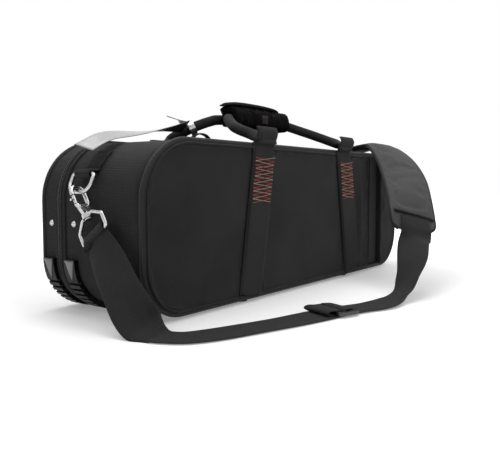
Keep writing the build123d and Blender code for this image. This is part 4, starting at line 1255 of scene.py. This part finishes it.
# a folded webbing pull over the second slider's bail
pullShape = dict(
    width=0.009, flat=0.01, thickness=0.0022, steps=3, wave=0.0003, seed=6.0, columns=9,
    foot=(-0.078, 0.0525, 0.2213), half=0.0185, height=0.0095)
pullX, pullY, pullZ = pullShape["foot"]
pullStations = [((pullX - pullShape["half"] * cos(pi * k / 12), pullY, pullZ + pullShape["height"] * sin(pi * k / 12)),
                 (0, 1, 0)) for k in range(13)]
pull = webbingPiece("pullLoop", pullStations, pullShape, "right_puller")
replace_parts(pull, "right_puller")
print("small webbing made")

# ---- zip, piping and stitched seams
zipSettings = dict(
    pitch=0.00165, rise=0.0028, tooth=(0.00052, 0.0024), stitchInset=0.0072, stitchRise=0.0027,
    tape=((0, 0.0002), (0, 0.0022), (0.0006, 0.0028), (0.0026, 0.0028), (0.0034, 0.0024), (0.0050, 0.0026),
          (0.0066, 0.0026), (0.0070, 0.0022), (0.0074, 0.0026), (0.0084, 0.0021), (0.0090, 0.0010), (0.0091, 0.0002)))


def zipHalf(name, rim, inward, body, node, offset):
    s = zipSettings
    profile = [(rim + inward * inset, rise) for inset, rise in s["tape"]]
    across = lengths([Vector((0, *station)) for station in profile])
    rows = [hoop(*station) for station in profile]
    tape = skin(name, rows, lambda i, j: (across[i], ringDistance[j]), "zipTape", body, False, False)
    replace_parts(tape, node)
    ring = hoop(rim + inward * 0.0012, s["rise"] + 0.0005)
    ring.append(ring[0])
    radius, length = s["tooth"]
    count = int(lengths(ring)[-1] / s["pitch"])
    places = evenly(ring, sorted(((k + offset) / count) % 1.0 for k in range(count)))
    turns = [q * pi / 3 + pi / 6 for q in range(6)]
    sections = ((-0.5, 0.7), (-0.3, 1.0), (0.35, 1.0), (0.5, 0.75))
    points, faces = [], []
    for k, place in enumerate(places):
        ahead = places[(k + 1) % count] - places[k - 1]
        way = Vector((ahead.x, 0, ahead.z)).normalized()
        out = Vector((-way.z, 0, way.x))
        if out.dot(place - Vector((place.x * 0.8, place.y, middleZ))) < 0:
            out = -out
        section = [(way * cos(turn) * 1.05 + out * sin(turn)) * radius for turn in turns]
        addPrism(points, faces, [[place + Vector((0, -inward * length * share, 0)) + p * size for p in section]
                                 for share, size in sections])
    teeth = meshOf(name + "Teeth", points, faces)
    turnOutwards(teeth)
    addPiece(name + "Teeth", teeth, "coil", body)
    seam = hoop(rim + inward * s["stitchInset"], s["stitchRise"])
    stitches(name + "Stitching", [seam + seam[:1]], "zip", body)


zipHalf("baseZip", caseSize["rim"], -1, "case", "base_zip_tape", 0.0)
zipHalf("lidZip", caseSize["lidRim"], 1, "lid", "lid_zip_tape", 0.5)
# depths of the pipings and of the stitches beside them; the welts; how far stitches lie in from a strap's edges
seamSettings = dict(
    ends=(("front", -0.0842, -0.0798, "case"), ("rear", 0.0857, 0.0812, "lid")), piping=0.0031, rise=0.0006,
    welt=(-0.0886, -0.0040), weltRadius=0.0013, strapWelt=-0.0896, strapWeltRadius=0.00125, bow=0.0006,
    mouthY=-0.0880, mouthRadius=0.0016, mouthInset=0.003, frontInset=0.0035, frontLift=0.00135, rearInset=0.0195,
    rearLift=0.00145, crossY=0.0925, crossHeights=(0.034, 0.066))
for end, y, _, body in seamSettings["ends"]:
    cord = tubeAlong(end + "Piping", hoop(y, 0.0), seamSettings["piping"], 14, "piping", body, True)
    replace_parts(cord, end + "_piping")


def weltRuns():
    # thin welts: inside the front piping, beside the front straps and round the pocket's mouth
    s = seamSettings
    ring = hoop(*s["welt"])
    half = len(ring) // 2
    mouth = caseSize["mouth"] - s["mouthInset"]
    line = [p for p in ring[half + half // 2:] if 0 <= p.x < mouth and p.z < 0.1]
    line += [p for p in ring[:half + half // 2] if p.x < mouth]
    tubeAlong("frontWelt", line, s["weltRadius"], 8, "binding")
    for side, edge, name in ((-1, 1, "leftStrapWelt"), (1, -1, "rightStrapWelt")):
        line = [Vector((strapEdge(z, side, edge), s["strapWelt"] - s["bow"] * sin(pi * k / 24), z))
                for k, z in enumerate(depthSteps(0.2050, 0.0120, 24))]
        tubeAlong(name, line, s["strapWeltRadius"], 8, "binding")
    hem = [Vector((caseSize["mouth"] + 0.0002, s["mouthY"], z)) for z in depthSteps(0.0120, 0.2010, 24)]
    tubeAlong("mouthHem", hem, s["mouthRadius"], 10, "binding")


def seamStitches():
    # rows of stitches beside the pipings and down both edges of every sewn strap
    s = seamSettings
    for end, _, y, body in s["ends"]:
        seam = hoop(y, s["rise"])
        stitches(end + "SeamStitching", [seam + seam[:1]], "shell", body)
    lines, rearLines = [], []
    front, rear = strapLine["y"] - s["frontLift"], rearLine["y"] + s["rearLift"]
    for side in (-1, 1):
        for edge in (-1, 1):
            inset = side * edge * s["frontInset"]
            lines.append([Vector((strapEdge(z, side, edge) - inset, front + strapLift(strapShare(z)), z))
                          for z in depthSteps(0.204, 0.0125, 30)])
            x = side * rearLine["x"] + edge * s["rearInset"]
            rearLines.append([Vector((x, rear + rearLine["bow"] * sin(pi * k / 24), z))
                              for k, z in enumerate(depthSteps(0.2055, 0.0315, 24))])
        for z in s["crossHeights"]:
            rearLines.append([Vector((side * rearLine["x"] + (k / 6 - 0.5) * 2 * s["rearInset"], s["crossY"], z))
                              for k in range(7)])
    stitches("strapStitching", lines, "strap", "case")
    stitches("rearStrapStitching", rearLines, "strap", "lid")


weltRuns()
seamStitches()
print("zip, piping and seams made")

# ---- lining and fittings carried over from the frame
softCopy("caseLining", "base_liner", 0.0055, 2, "plush", "case")
softCopy("lidLining", "lid_liner", 0.0055, 2, "plush", "lid")
fittings = {
    "guard": {"base_bumpers": 0.0009, "lid_bumpers": 0.0009},
    "rubber": {"base_feet": 0.0012},
    "nickel": {"base_rivets": 0, "lid_rivets": 0, "left_ring": 0, "right_ring": 0, "left_hook": 0.0004,
               "right_hook": 0.0004, "left_gate": 0, "right_gate": 0, "left_frame": 0.0003, "right_frame": 0.0003,
               "tag_ring": 0.0004},
    "gunmetal": {"strap_adjuster": 0.0006, "left_slider": 0.0003, "right_slider": 0.0003, "left_puller": 0.0004},
}
for material, bevels in fittings.items():
    for name, bevel in bevels.items():
        for materialSlot in nodes[name].material_slots:
            materialSlot.material = materials[material]
        if bevel:
            edge = nodes[name].modifiers.new("edges", "BEVEL")
            edge.width, edge.segments, edge.limit_method, edge.angle_limit = bevel, 2, "ANGLE", radians(35)

leafSettings = dict(proud=0.0004, inset=0.0012, start=1.0, turn=20.0, thickness=0.0006)


def guardLeaf(node, body, side):
    # the grey patch at the head of a guard, a painted reflection of the bright surroundings in its leaf recess, wide at
    # the top and drawn to a point
    s = leafSettings
    reach = caseSize["lowRadius"] + caseSize["low"] + s["proud"]
    centreX, centreZ = caseSize["half"] - caseSize["lowRadius"], caseSize["low"] + caseSize["lowRadius"]
    depths = [(nodes[node].matrix_world @ Vector(c)).y for c in nodes[node].bound_box]
    near, far = min(depths) + s["inset"], max(depths) - s["inset"]
    rows = []
    for i in range(9):
        share = i / 8
        turn = radians(s["start"] + s["turn"] * share)
        left, right = near + (far - near) * 0.45 * share ** 1.6, far - (far - near) * 0.5 * share ** 0.6
        rows.append([Vector((side * (centreX + reach * cos(turn)), y, centreZ - reach * sin(turn)))
                     for y in depthSteps(left, right, 4)])
    name = node.split("_")[0] + ("Left" if side < 0 else "Right") + "Leaf"
    mesh = rowMesh(name, rows, flatUv(rows, 1, 2))
    leaf = addPiece(name, mesh, "guardLeaf", body)
    if sum(p.normal.x * side for p in mesh.polygons) < 0:
        mesh.flip_normals()
    thick = leaf.modifiers.new("thickness", "SOLIDIFY")
    thick.thickness, thick.offset = s["thickness"], -1


for node, body in (("base_bumpers", "case"), ("lid_bumpers", "lid")):
    for side in (-1, 1):
        guardLeaf(node, body, side)
print("fittings finished")
